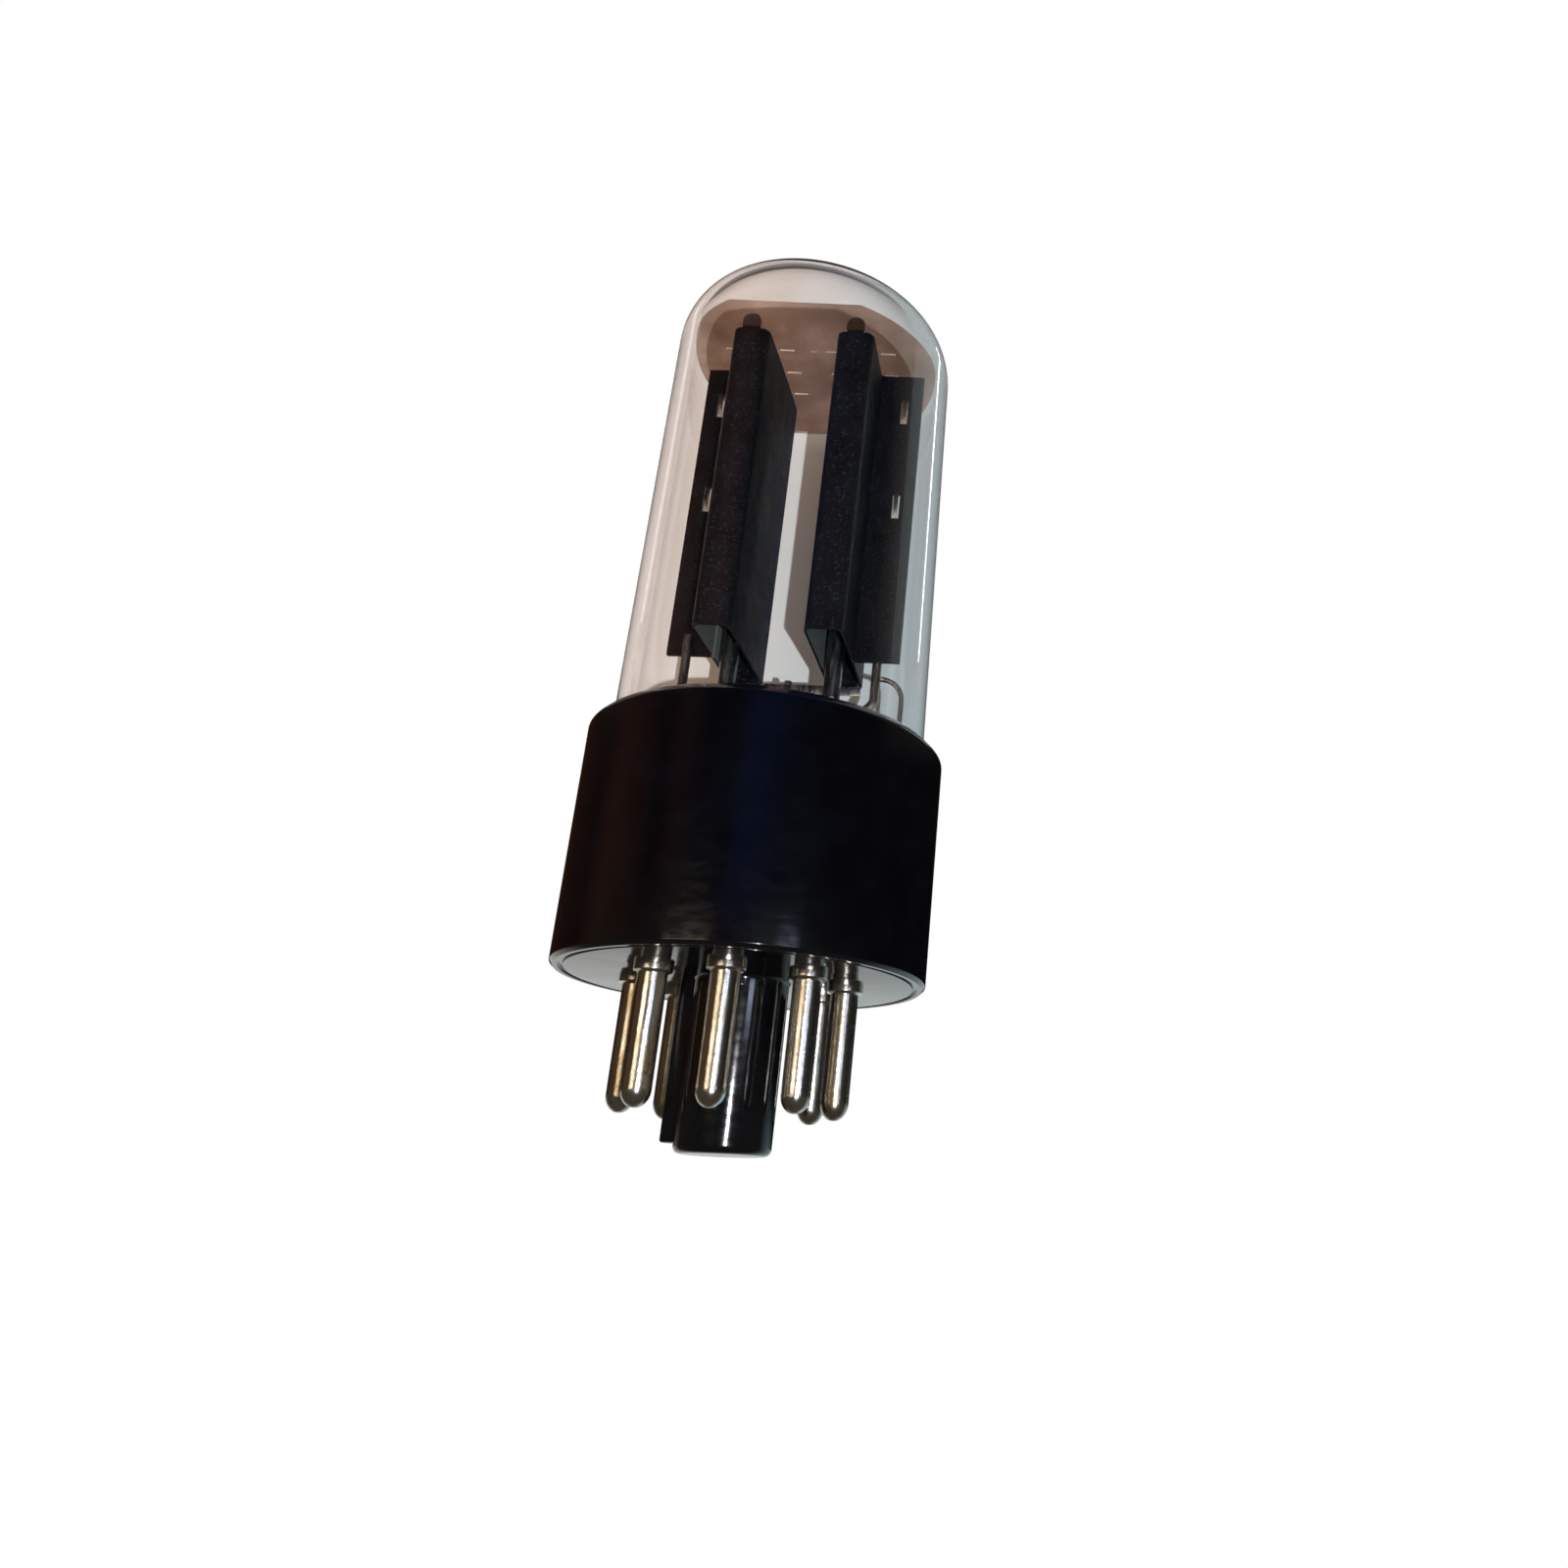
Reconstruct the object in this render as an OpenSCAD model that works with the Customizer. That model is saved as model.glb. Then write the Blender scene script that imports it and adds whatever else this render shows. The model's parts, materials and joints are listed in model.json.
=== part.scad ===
// Full-wave rectifier tube: a glass bulb with two black anodes on a moulded octal base.
// The tube stands upright with +Z along its axis. The origin is the centre of the spigot's end.
// X runs through the two anodes, and the front of the anode cage faces -Y.

/* [Moulded base] */
// Outside diameter of the base
base_d = 31.2; // [30.8:0.1:33]
// Height of the base from its underside to its rim
base_h = 21.5; // [20:0.1:26]
// Wall of the base cup
base_wall = 1.6; // [1.2:0.1:1.7]
// Thickness of the base floor, which holds the pins
base_floor = 3; // [2.6:0.1:3.4]
// Bevel on the outside of the rim
rim_bevel = 0.8; // [0.4:0.1:1]
// Bevel on the outside of the underside's edge
heel_bevel = 0.3; // [0.2:0.1:0.6]
// Distance of the fine groove in the underside from its edge
groove_inset = 1.1; // [0.8:0.1:2]
// Width of that groove
groove_w = 0.4; // [0.2:0.1:0.6]
// Depth of that groove
groove_depth = 0.25; // [0.1:0.05:0.5]

/* [Spigot and key] */
// Diameter of the locating spigot
spigot_d = 7.9; // [7.6:0.1:8.1]
// Length of the spigot below the underside
spigot_len = 14.4; // [13.4:0.1:15.5]
// Rounding at the end of the spigot
spigot_round = 0.6; // [0.3:0.1:1]
// Diameter of the hollow inside the spigot
spigot_bore_d = 5.2; // [4.8:0.1:5.6]
// Thickness of the closed end of the spigot
spigot_end = 1.4; // [1:0.1:2]
// Width of the key along the spigot
key_w = 2.4; // [2:0.1:2.6]
// Reach of the key from the tube's axis
key_reach = 5.4; // [4.9:0.1:5.6]
// Direction of the key, seen from above, from +X towards +Y
key_angle = 163; // [160:1:166]

/* [Pins] */
// Number of pins, evenly spaced with the key halfway between the first and the last
pin_count = 8; // [8:1:8]
// Diameter of the circle through the pins
pin_circle_d = 17.45; // [17.3:0.05:17.6]
// Outside diameter of a pin
pin_d = 2.36; // [2.3:0.02:2.42]
// Wall of the hollow pin
pin_wall = 0.45; // [0.3:0.05:0.5]
// Length of a pin below the underside
pin_len = 11.2; // [10.6:0.1:11.8]
// Height of the domed end of a pin
pin_dome_h = 1.3; // [1:0.1:1.6]
// Diameter of the solder hole in the pin's end
pin_hole_d = 1; // [0.8:0.1:1.2]
// Diameter of the collar where a pin leaves the base
pin_collar_d = 3.1; // [2.8:0.1:3.4]
// Height of that collar
pin_collar_h = 0.7; // [0.4:0.1:1]
// Height of the pin's head above the base floor
pin_head_h = 0.5; // [0.3:0.1:0.6]
// How far the solder stands out of the pin's end
solder_bump = 0.15; // [0.05:0.05:0.25]

/* [Glass bulb] */
// Clearance between the bulb and the wall of the base above the cement
bulb_clearance = 0.25; // [0.1:0.05:0.5]
// How much smaller the bulb's radius is at the top insulator than at the rim of the base
bulb_taper = 0.4; // [0:0.05:0.6]
// Height of the bulb's crown above the underside of the top insulator
crown_h = 9.4; // [8.8:0.1:12]
// Wall of the bulb
bulb_wall = 0.9; // [0.7:0.05:1]
// Radius of the bulb's shoulder, between its side and its crown
shoulder_r = 7; // [5:0.5:8]
// How far the bulb's neck, which is sealed to the stem, lies inside its side
neck_inset = 2.25; // [1.75:0.05:2.75]
// Height of the seal above the base's underside
seal_h = 7; // [6.8:0.1:7.4]
// Height at which the neck reaches the full width of the bulb
neck_top_h = 15; // [14:0.5:16]
// Top of the cement between the neck and the base
cement_top_h = 16.5; // [15.5:0.5:18]
// Bottom of that cement
cement_bottom_h = 8; // [7.6:0.1:9]

/* [Glass stem] */
// Outside diameter of the stem tube
stem_d = 12.4; // [12:0.1:13]
// Wall of the stem tube and of its flare
stem_wall = 1; // [0.8:0.05:1.1]
// Height at which the flare becomes a straight tube
flare_top_h = 12; // [11.5:0.1:12.5]
// Height of the bottom of the solid pinch
pinch_bottom_h = 15.5; // [15:0.1:16.5]
// Height of the top of the pinch
pinch_top_h = 22; // [21.5:0.1:22.5]
// Width of the pinch along X
pinch_w = 13; // [12.4:0.1:14]
// Thickness of the pinch along Y
pinch_t = 5.6; // [5.4:0.1:6]
// Outside diameter of the exhaust tube
exhaust_d = 3.4; // [3:0.1:3.6]
// Wall of the exhaust tube
exhaust_wall = 0.6; // [0.5:0.05:0.7]
// How far the sealed end of the exhaust tube reaches below the base's underside
exhaust_reach = 8; // [5:0.5:10]

/* [Anodes] */
// Width of the flattened tube of an anode, along X
anode_w = 3.5; // [3.3:0.1:3.7]
// Length of its section, along Y
anode_len = 13.8; // [12.5:0.1:14.2]
// Outside radius of its four long corners
anode_corner = 0.9; // [0.7:0.05:1]
// Thickness of the folded sheet
sheet_t = 0.25; // [0.2:0.01:0.3]
// Distance of the anodes above the cathodes' ribbon
anode_gap = 2.2; // [1.6:0.1:3]
// Width of the seam flange outside the flattened tube
flange_w = 4.25; // [3.8:0.05:4.5]
// Clearance between the seam flange and the bulb
flange_clearance = 1.5; // [1.2:0.1:1.9]
// Width of the ear that passes through the top insulator
ear_w = 1.8; // [1.4:0.1:2]
// Height of the ear above the top insulator
ear_h = 1.4; // [1:0.1:1.6]
// Distance of the middles of the clinched windows from the edge of the flange
window_inset = 1.7; // [1.4:0.05:2]
// Width of a window
window_w = 0.7; // [0.5:0.05:0.9]
// Height of a window
window_h = 2.8; // [2:0.1:3.4]
// Distances of the middles of the windows below the top insulator
window_drops = [15, 4.2];

/* [Cathodes and heaters] */
// Outside diameter of a cathode sleeve
sleeve_d = 1.6; // [1.5:0.02:1.7]
// Wall of the sleeve
sleeve_wall = 0.1; // [0.08:0.01:0.12]
// Distance of the sleeves above the ribbons of the heaters
sleeve_gap = 0.8; // [0.4:0.1:1.2]
// Height of the sleeves above the top insulator
sleeve_top_h = 0.8; // [0.5:0.1:1.2]
// Diameter of the heater wire with its coating
heater_d = 0.4; // [0.36:0.02:0.44]
// Distance between the two legs of a heater
heater_pitch = 0.7; // [0.64:0.02:0.74]
// Height of the ends of the heater legs above the pinch
heater_rise = 2.8; // [2.6:0.1:3.2]
// Distance of a heater's bend below the top insulator
heater_top_gap = 1; // [0:0.5:6]
// Height of the nickel ribbons of the heaters
link_h = 0.8; // [0.6:0.1:1]
// Thickness of the nickel ribbons
ribbon_t = 0.2; // [0.15:0.01:0.25]
// Height of the ribbon that joins the two cathodes above the bottom of the sleeves
ribbon_rise = 0.8; // [0.5:0.1:1.4]
// Width of that ribbon
cathode_ribbon_w = 0.9; // [0.7:0.1:1.1]
// How far that ribbon runs past the right cathode
ribbon_tail = 1.7; // [1.2:0.1:2]

/* [Top insulator] */
// Height of the underside of the mica disc above the base's underside
mica_h = 62; // [61.5:0.1:62.5]
// Thickness of the mica disc
mica_t = 0.3; // [0.2:0.05:0.4]
// Clearance between the mica disc and the bulb
mica_clearance = 0.45; // [0.3:0.05:0.6]
// Distance between the two flats on the mica disc's rim, at its front and its back
mica_flats = 20.8; // [19.8:0.1:22]
// Length of the small slits beside the anodes
slit_len = 1.5; // [1.2:0.1:1.8]
// Width of those slits
slit_w = 0.4; // [0.3:0.05:0.5]
// Spacing of those slits along Y
slit_pitch = 3.5; // [3.2:0.1:3.8]
// Distance of those slits from the side of the anode
slit_gap = 0.2; // [0.1:0.05:0.4]
// Clearance round the ears
hole_clearance = 0.05; // [0.02:0.01:0.1]

/* [Wires and getter] */
// Diameter of the rods that carry the anodes
rod_d = 0.9; // [0.8:0.05:1.1]
// Distance of the rods' axes from the edges of the flanges
rod_inset = 2.15; // [2:0.05:2.6]
// How far the rods overlap the flanges
rod_overlap = 1.7; // [1.4:0.1:2.4]
// Diameter of the lead wires
lead_d = 0.7; // [0.6:0.02:0.76]
// How far below the anodes the getter's wire leaves its rod
getter_drop = 1.4; // [1.2:0.1:2]
// Distance of the getter's wire from its rod
getter_gap = 2.1; // [1.6:0.05:2.2]
// Diameter of the getter's wire
getter_wire_d = 0.5; // [0.4:0.02:0.6]
// Diameter of the getter cup
getter_d = 3.8; // [3.4:0.1:4]
// Depth of the getter cup
getter_depth = 1.2; // [1:0.1:1.4]
// Height of the middle of the getter cup
getter_h = 18.6; // [18.4:0.1:19]

/* [Hidden] */

$fn = 64;
wire_sides = 10;
wire_rings = 22;
arc_steps = 16;
// How far a cut reaches past the face that it opens
cut = 1;

base_r = base_d / 2;
cup_r = base_r - base_wall;
groove_r = base_r - groove_inset;
spigot_r = spigot_d / 2;
pin_r = pin_d / 2;
pin_bore_r = pin_r - pin_wall;
pin_hole_r = pin_hole_d / 2;
bulb_r = cup_r - bulb_clearance;
bulb_top_r = bulb_r - bulb_taper;
neck_r = bulb_r - neck_inset;
stem_r = stem_d / 2;
sleeve_r = sleeve_d / 2;
lead_r = lead_d / 2;
rod_r = rod_d / 2;

// The key stops just above the rounded end of the spigot
key_end_gap = 0.3;
// The neck is straight above the seal, and rounded where it meets the side of the bulb
neck_straight = 2;
neck_round_w = 0.3;
neck_round_h = 1.5;
// The bulb starts to taper just above the rim of the base
taper_start = 2;
// The solder fills the pin to just above its domed end, and the lead ends in it
solder_fill = 0.4;
lead_end_h = -pin_len + 0.6;

// The cage stands on the stem: heaters, then sleeves, then the cathodes' ribbon, then anodes
heater_bottom_h = pinch_top_h + heater_rise;
sleeve_bottom_h = heater_bottom_h + link_h + sleeve_gap;
cathode_ribbon_h = sleeve_bottom_h + ribbon_rise;
anode_bottom_h = cathode_ribbon_h + cathode_ribbon_w + anode_gap;
heater_top_h = mica_h - heater_top_gap;

// The edges of the flanges set how far out the anodes and what is welded to them lie
flange_reach = bulb_top_r - bulb_wall - flange_clearance;
anode_x = flange_reach - flange_w - anode_w / 2;
window_x = flange_reach - window_inset;
rod_x = flange_reach - rod_inset;
getter_x = rod_x + rod_r + getter_gap;
// The right rod is welded to the back of its flange, which is two sheets thick
rod_y = sheet_t + rod_r;
// The heater ribbons lie against the outer sides of the heater legs
link_y = heater_pitch / 2 + heater_d / 2;
heater_lead_y = -(link_y + ribbon_t + lead_r);
// The cathode ribbon lies against the backs of the sleeves, and its lead against the ribbon
cathode_lead_y = sleeve_r + ribbon_t + lead_r;
cathode_lead_x = 0.5;
// How far the cathode lead runs past the edges of its ribbon
lead_past = 0.5;

// Where the wires are sealed in the pinch. The rods end halfway down it.
cathode_seal_y = 2.1;
anode_seal_x = 4.3;
heater_seal_x = 2.7;
pinch_mid_h = (pinch_bottom_h + pinch_top_h) / 2;
// The exhaust tube reaches a little way up into the pinch
exhaust_top_h = pinch_bottom_h + 1;
// The wires stand straight for this far above the pinch
wire_stand = 0.3;
// The rods bend in to the pinch from this height above it
rod_bend_rise = 4.8;
// Heights above the seal at which the leads start to bend out to their pins
anode_lead_rise = 1.5;
lead_rise = 3;
long_lead_rise = 4.5;
// How long a wire keeps its direction at each end of a bend
short_pull = 1.6;
long_pull = 2.2;
// The wires are this much thinner than their holes in the glass
wire_fit = 0.99;
// The getter's wire is welded this close to its rod
weld_gap = 0.03;

// Directions of the pins, counted from the key
function pin_angle(i) = key_angle + (i - 0.5) * 360 / pin_count;
function pin_xy(i) = pin_circle_d / 2 * [cos(pin_angle(i)), sin(pin_angle(i))];

// Points on an arc in a plane, by its centre, radius and start and end angles
function arc(c, r, a0, a1, steps = arc_steps) =
    [for (i = [0:steps]) c + r * [cos(a0 + (a1 - a0) * i / steps), sin(a0 + (a1 - a0) * i / steps)]];
// Points on a quarter of an ellipse from its side to its end
function dome(r, end_r, z0, h, steps = 8) = let (reach = acos(end_r / r))
    [for (i = [0:steps]) [r * cos(reach * i / steps), z0 + h * sin(reach * i / steps) / sin(reach)]];
function reversed(list) = [for (i = [len(list) - 1:-1:0]) list[i]];
function unit(v) = v / norm(v);

// Points on a cubic curve that leaves p and reaches q upright
function upright_curve(p, q, pull) =
    let (p1 = p - [0, 0, pull], q1 = q + [0, 0, pull])
    [for (i = [0:wire_rings]) let (t = i / wire_rings, s = 1 - t)
        s * s * s * p + 3 * s * s * t * p1 + 3 * s * t * t * q1 + t * t * t * q];

// A round wire along a list of points. side is a level vector that no stretch runs along.
module wire(path, r, side) {
    last = len(path) - 1;
    rings = [for (i = [0:last])
        let (along = unit(path[min(i + 1, last)] - path[max(i - 1, 0)]),
            u = unit(side - (side * along) * along), v = cross(along, u))
        for (k = [0:wire_sides - 1]) let (a = 360 * k / wire_sides)
            path[i] + r * (cos(a) * u + sin(a) * v)];
    walls = [for (i = [0:last - 1], k = [0:wire_sides - 1]) let (n = (k + 1) % wire_sides)
        [i * wire_sides + k, (i + 1) * wire_sides + k, (i + 1) * wire_sides + n, i * wire_sides + n]];
    start = [for (k = [0:wire_sides - 1]) k];
    finish = [for (k = [wire_sides - 1:-1:0]) last * wire_sides + k];
    polyhedron(rings, concat(walls, [start, finish]), convexity = 6);
}

module above_seat() {
    translate([0, 0, spigot_len]) children();
}

// The moulded base: cup, floor, spigot and key in one piece
module base_shell() {
    key_root = (spigot_bore_d / 2 + spigot_r) / 2;
    key_bottom = -spigot_len + spigot_round + key_end_gap;
    color("#141417") above_seat() difference() {
        union() {
            rotate_extrude() polygon(concat(
                [[spigot_bore_d / 2, base_floor], [spigot_bore_d / 2, -spigot_len + spigot_end],
                    [0, -spigot_len + spigot_end], [0, -spigot_len]],
                arc([spigot_r - spigot_round, -spigot_len + spigot_round], spigot_round, -90, 0, 6),
                [[spigot_r, 0], [groove_r, 0], [groove_r, groove_depth],
                    [groove_r + groove_w, groove_depth], [groove_r + groove_w, 0],
                    [base_r - heel_bevel, 0], [base_r, heel_bevel], [base_r, base_h - rim_bevel],
                    [base_r - rim_bevel, base_h], [cup_r, base_h], [cup_r, base_floor]]));
            rotate(key_angle) translate([key_root, -key_w / 2, key_bottom])
                cube([key_reach - key_root, key_w, base_floor / 2 - key_bottom]);
        }
        for (i = [1:pin_count]) translate([pin_xy(i)[0], pin_xy(i)[1], -cut])
            cylinder(r = pin_r, h = base_floor + 2 * cut);
    }
}

// A hollow pin: domed end, collar under the base and a head above its floor
module pin(i) {
    collar_bevel = 0.15;
    collar_r = pin_collar_d / 2;
    end = dome(pin_r, pin_hole_r, 0, pin_dome_h);
    inner_end = dome(pin_bore_r, pin_hole_r, 0, pin_dome_h - pin_wall);
    color("#b9b2a4") above_seat() translate([pin_xy(i)[0], pin_xy(i)[1], 0]) rotate_extrude()
        polygon(concat(
            [for (p = reversed(end)) [p[0], -pin_len + pin_dome_h - p[1]]],
            [[pin_r, -pin_collar_h], [collar_r, -pin_collar_h + collar_bevel], [collar_r, 0],
                [pin_r, 0], [pin_r, base_floor], [collar_r, base_floor],
                [collar_r, base_floor + pin_head_h], [pin_bore_r, base_floor + pin_head_h]],
            [for (p = inner_end) [p[0], -pin_len + pin_dome_h - p[1]]]));
}

// The solder that closes the end of each pin round its wire
module pin_solder() {
    inner = dome(pin_bore_r, pin_hole_r, 0, pin_dome_h - pin_wall);
    top = -pin_len + pin_dome_h + solder_fill;
    color("#c8c8c4") above_seat() for (i = [1:pin_count]) translate([pin_xy(i)[0], pin_xy(i)[1], 0])
        difference() {
            rotate_extrude() polygon(concat(
                [[0, -pin_len - solder_bump], [pin_hole_r * 0.7, -pin_len - solder_bump * 0.7],
                    [pin_hole_r, -pin_len]],
                [for (p = reversed(inner)) [p[0], -pin_len + pin_dome_h - p[1]]],
                [[pin_bore_r, top], [0, top]]));
            translate([0, 0, lead_end_h]) cylinder(r = lead_r, h = top - lead_end_h + cut);
        }
}

// Outline of the bulb in the plane of radius and height. inset is how far it lies inside the glass.
function crown_radius(r, h, s) =
    (h * h - (s * s - (r - s) * (r - s))) / (2 * (h - s));
function bulb_side(inset) =
    let (r = bulb_top_r - inset, h = crown_h - inset, s = shoulder_r - inset,
        c = crown_radius(r, h, s), tilt = asin((r - s) / (c - s)))
    concat(
        [[neck_r - inset, seal_h], [neck_r - inset, seal_h + neck_straight],
            [bulb_r - inset - neck_round_w, neck_top_h - neck_round_h],
            [bulb_r - inset, neck_top_h], [bulb_r - inset, base_h + taper_start]],
        arc([r - s, mica_h], s, 0, 90 - tilt),
        arc([0, mica_h + h - c], c, 90 - tilt, 90));

module glass_bulb() {
    color("#e8eef0", 0.3) above_seat() rotate_extrude($fn = 96)
        polygon(concat(bulb_side(0), reversed(bulb_side(bulb_wall))));
}

// Cement that fills the space between the neck and the base
module base_cement() {
    color("#7a6a58") above_seat() rotate_extrude() polygon([
        [neck_r, cement_bottom_h], [neck_r, seal_h + neck_straight],
        [bulb_r - neck_round_w, neck_top_h - neck_round_h], [bulb_r, neck_top_h],
        [bulb_r, cement_top_h], [cup_r, cement_top_h], [cup_r, cement_bottom_h]]);
}

// The flared stem tube, whose rim is sealed to the bulb, and the solid pinch on top of it
module glass_stem() {
    root_h = 0.5;
    taper_h = 2;
    // The tube's top is let a little way into the pinch
    sink = 0.3;
    tube_top = pinch_bottom_h - cut;
    flare_h = flare_top_h - seal_h;
    flare_w = neck_r - stem_r - bulb_wall;
    outer = [for (i = [0:8]) let (a = 90 * i / 8)
        [neck_r - bulb_wall - flare_w * sin(a), seal_h + flare_h * (1 - cos(a))]];
    // The flare's inside lies one wall in and down from its outside
    inner = [for (p = reversed(outer)) p - stem_wall * [0.8, 0.6]];
    color("#dfe8e8", 0.4) above_seat() difference() {
        union() {
            rotate_extrude() polygon(concat(
                [[neck_r, seal_h - stem_wall], [neck_r, seal_h]], outer,
                [[stem_r, tube_top], [stem_r - sink, tube_top + sink],
                    [stem_r - stem_wall, tube_top + sink]],
                inner, [[neck_r - bulb_wall - stem_wall, seal_h - stem_wall]]));
            hull() {
                translate([0, 0, tube_top]) cylinder(r = stem_r, h = root_h, $fn = 32);
                for (x = [-1, 1])
                    translate([x * (pinch_w - pinch_t) / 2, 0, pinch_bottom_h + taper_h])
                        cylinder(d = pinch_t, h = pinch_top_h - pinch_bottom_h - taper_h, $fn = 32);
            }
        }
        translate([0, 0, tube_top - cut]) cylinder(d = exhaust_d, h = exhaust_top_h - tube_top + cut);
        for (x = [-1, 1]) {
            translate([x * anode_seal_x, 0, 0]) cylinder(r = lead_r, h = pinch_top_h + cut);
            translate([x * anode_seal_x, 0, pinch_mid_h]) cylinder(r = rod_r, h = pinch_top_h);
            translate([x * heater_seal_x, heater_lead_y, 0])
                cylinder(r = lead_r, h = pinch_top_h + cut);
        }
        translate([cathode_lead_x, cathode_seal_y, 0]) cylinder(r = lead_r, h = pinch_top_h + cut);
    }
}

// The exhaust tube, sealed off inside the spigot
module exhaust_tube() {
    r = exhaust_d / 2;
    tip = -exhaust_reach + r;
    color("#dfe8e8", 0.4) above_seat() rotate_extrude() polygon(concat(
        [[r - exhaust_wall, exhaust_top_h], [r - exhaust_wall, tip],
            [0, -exhaust_reach + 1.5 * exhaust_wall]],
        reversed([for (p = dome(r, 0, 0, r)) [p[0], tip - p[1]]]),
        [[r, exhaust_top_h]]));
}

// Section of the anode's flattened tube, filled: a rectangle with rounded corners
module anode_section(inset) {
    x = anode_w / 2 - anode_corner;
    y = anode_len / 2 - anode_corner;
    square([anode_w - 2 * inset, 2 * y], center = true);
    square([2 * x, anode_len - 2 * inset], center = true);
    for (i = [-1, 1], j = [-1, 1]) translate([i * x, j * y]) circle(r = anode_corner - inset);
}

// Wall of the anode's flattened tube
module anode_wall(h) {
    linear_extrude(h) difference() {
        anode_section(0);
        anode_section(sheet_t);
    }
}

// An anode: one sheet folded to a flattened tube, with its seam as a flange that points outwards
module anode(side) {
    tube_h = mica_h - anode_bottom_h;
    // The seam starts on the inside of the folded tube
    seam_w = flange_w + sheet_t;
    // The ears are cut from the tube's own sheet, and start a little below the mica disc
    ear_root = 1;
    ear_top = mica_t + ear_h;
    color("#232427") above_seat() mirror([side < 0 ? 1 : 0, 0, 0]) difference() {
        union() {
            translate([anode_x, 0, anode_bottom_h]) anode_wall(tube_h);
            translate([flange_reach - seam_w, -sheet_t, anode_bottom_h])
                cube([seam_w, 2 * sheet_t, tube_h]);
            intersection() {
                translate([anode_x, 0, mica_h - ear_root]) anode_wall(ear_top + ear_root);
                union() {
                    translate([anode_x - ear_w / 2, -anode_len, mica_h - ear_root])
                        cube([ear_w, 2 * anode_len, ear_top + ear_root - ear_w / 2]);
                    translate([anode_x, 0, mica_h + ear_top - ear_w / 2]) rotate([90, 0, 0])
                        cylinder(d = ear_w, h = 2 * anode_len, center = true);
                }
            }
        }
        for (drop = window_drops)
            translate([window_x - window_w / 2, -cut, mica_h - drop - window_h / 2])
                cube([window_w, 2 * cut, window_h]);
    }
}

// The rod that carries an anode: welded to its flange, then bent in to the pinch. The left one is
// the right one turned by half a turn, so it lies on the front of its flange.
module anode_rod(side) {
    top = [rod_x, rod_y, anode_bottom_h + rod_overlap];
    foot = [anode_seal_x, 0, pinch_top_h + wire_stand];
    bend = upright_curve([rod_x, rod_y, pinch_top_h + rod_bend_rise], foot, short_pull);
    color("#a9a6a0") above_seat() rotate(side < 0 ? 180 : 0)
        wire(concat([top], bend, [[anode_seal_x, 0, pinch_mid_h]]), rod_r * wire_fit, [0, 1, 0]);
}

// A lead wire: through the pinch, down inside the stem and into its pin. rise is the height above
// the seal at which it starts to bend.
module lead(top_path, seal, rise, pull, i) {
    p = pin_xy(i);
    level = unit([p[0] - seal[0], p[1] - seal[1], 0]);
    run = upright_curve([seal[0], seal[1], seal_h + rise],
        [p[0], p[1], base_floor + pin_head_h], pull);
    color("#b0aca4") above_seat() wire(concat(top_path, run, [[p[0], p[1], lead_end_h]]),
        lead_r * wire_fit, cross([0, 0, 1], level));
}

module lead_anode_left() {
    lead([[-anode_seal_x, 0, pinch_mid_h]], [-anode_seal_x, 0], anode_lead_rise, short_pull, 3);
}

module lead_anode_right() {
    lead([[anode_seal_x, 0, pinch_mid_h]], [anode_seal_x, 0], anode_lead_rise, short_pull, 5);
}

module lead_heater_left() {
    lead([[-heater_seal_x, heater_lead_y, heater_bottom_h + link_h]],
        [-heater_seal_x, heater_lead_y], long_lead_rise, long_pull, 2);
}

module lead_heater_right() {
    lead([[heater_seal_x, heater_lead_y, heater_bottom_h + link_h]],
        [heater_seal_x, heater_lead_y], lead_rise, long_pull, 7);
}

module lead_cathode() {
    top_h = cathode_ribbon_h + cathode_ribbon_w + lead_past;
    bend = upright_curve([cathode_lead_x, cathode_lead_y, cathode_ribbon_h - lead_past],
        [cathode_lead_x, cathode_seal_y, pinch_top_h + wire_stand], short_pull);
    lead(concat([[cathode_lead_x, cathode_lead_y, top_h]], bend),
        [cathode_lead_x, cathode_seal_y], lead_rise, long_pull, 8);
}

// A cathode sleeve: it stands in the middle of its anode and passes through the mica disc
module cathode(side) {
    length = mica_h + mica_t + sleeve_top_h - sleeve_bottom_h;
    color("#b8b5ae") above_seat() translate([side * anode_x, 0, sleeve_bottom_h]) difference() {
        cylinder(r = sleeve_r, h = length);
        translate([0, 0, -cut]) cylinder(r = sleeve_r - sleeve_wall, h = length + 2 * cut);
    }
}

// The ribbon welded to the backs of both cathodes
module cathode_ribbon() {
    start = -anode_x - sleeve_r;
    color("#b8b5ae") above_seat() translate([start, sleeve_r, cathode_ribbon_h])
        cube([anode_x + sleeve_r + ribbon_tail - start, ribbon_t, cathode_ribbon_w]);
}

// A coated heater wire, bent double inside its sleeve
module heater(side) {
    r = heater_d / 2;
    color("#e6e3dc") above_seat() translate([side * anode_x, 0, 0]) {
        for (y = [-1, 1]) translate([0, y * heater_pitch / 2, heater_bottom_h])
            cylinder(r = r, h = heater_top_h - heater_bottom_h);
        translate([0, 0, heater_top_h]) rotate([90, 0, 90]) rotate_extrude(angle = 180)
            translate([heater_pitch / 2, 0]) circle(r = r);
    }
}

// The ribbon that joins the back legs of the two heaters
module heater_bridge() {
    color("#b8b5ae") above_seat() translate([-anode_x - heater_d / 2, link_y, heater_bottom_h])
        cube([2 * anode_x + heater_d, ribbon_t, link_h]);
}

// The ribbon from the front leg of a heater to its lead
module heater_link(side) {
    reach = anode_x + heater_d / 2 - heater_seal_x + lead_r;
    color("#b8b5ae") above_seat() mirror([side < 0 ? 1 : 0, 0, 0])
        translate([heater_seal_x - lead_r, -link_y - ribbon_t, heater_bottom_h])
            cube([reach, ribbon_t, link_h]);
}

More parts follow.
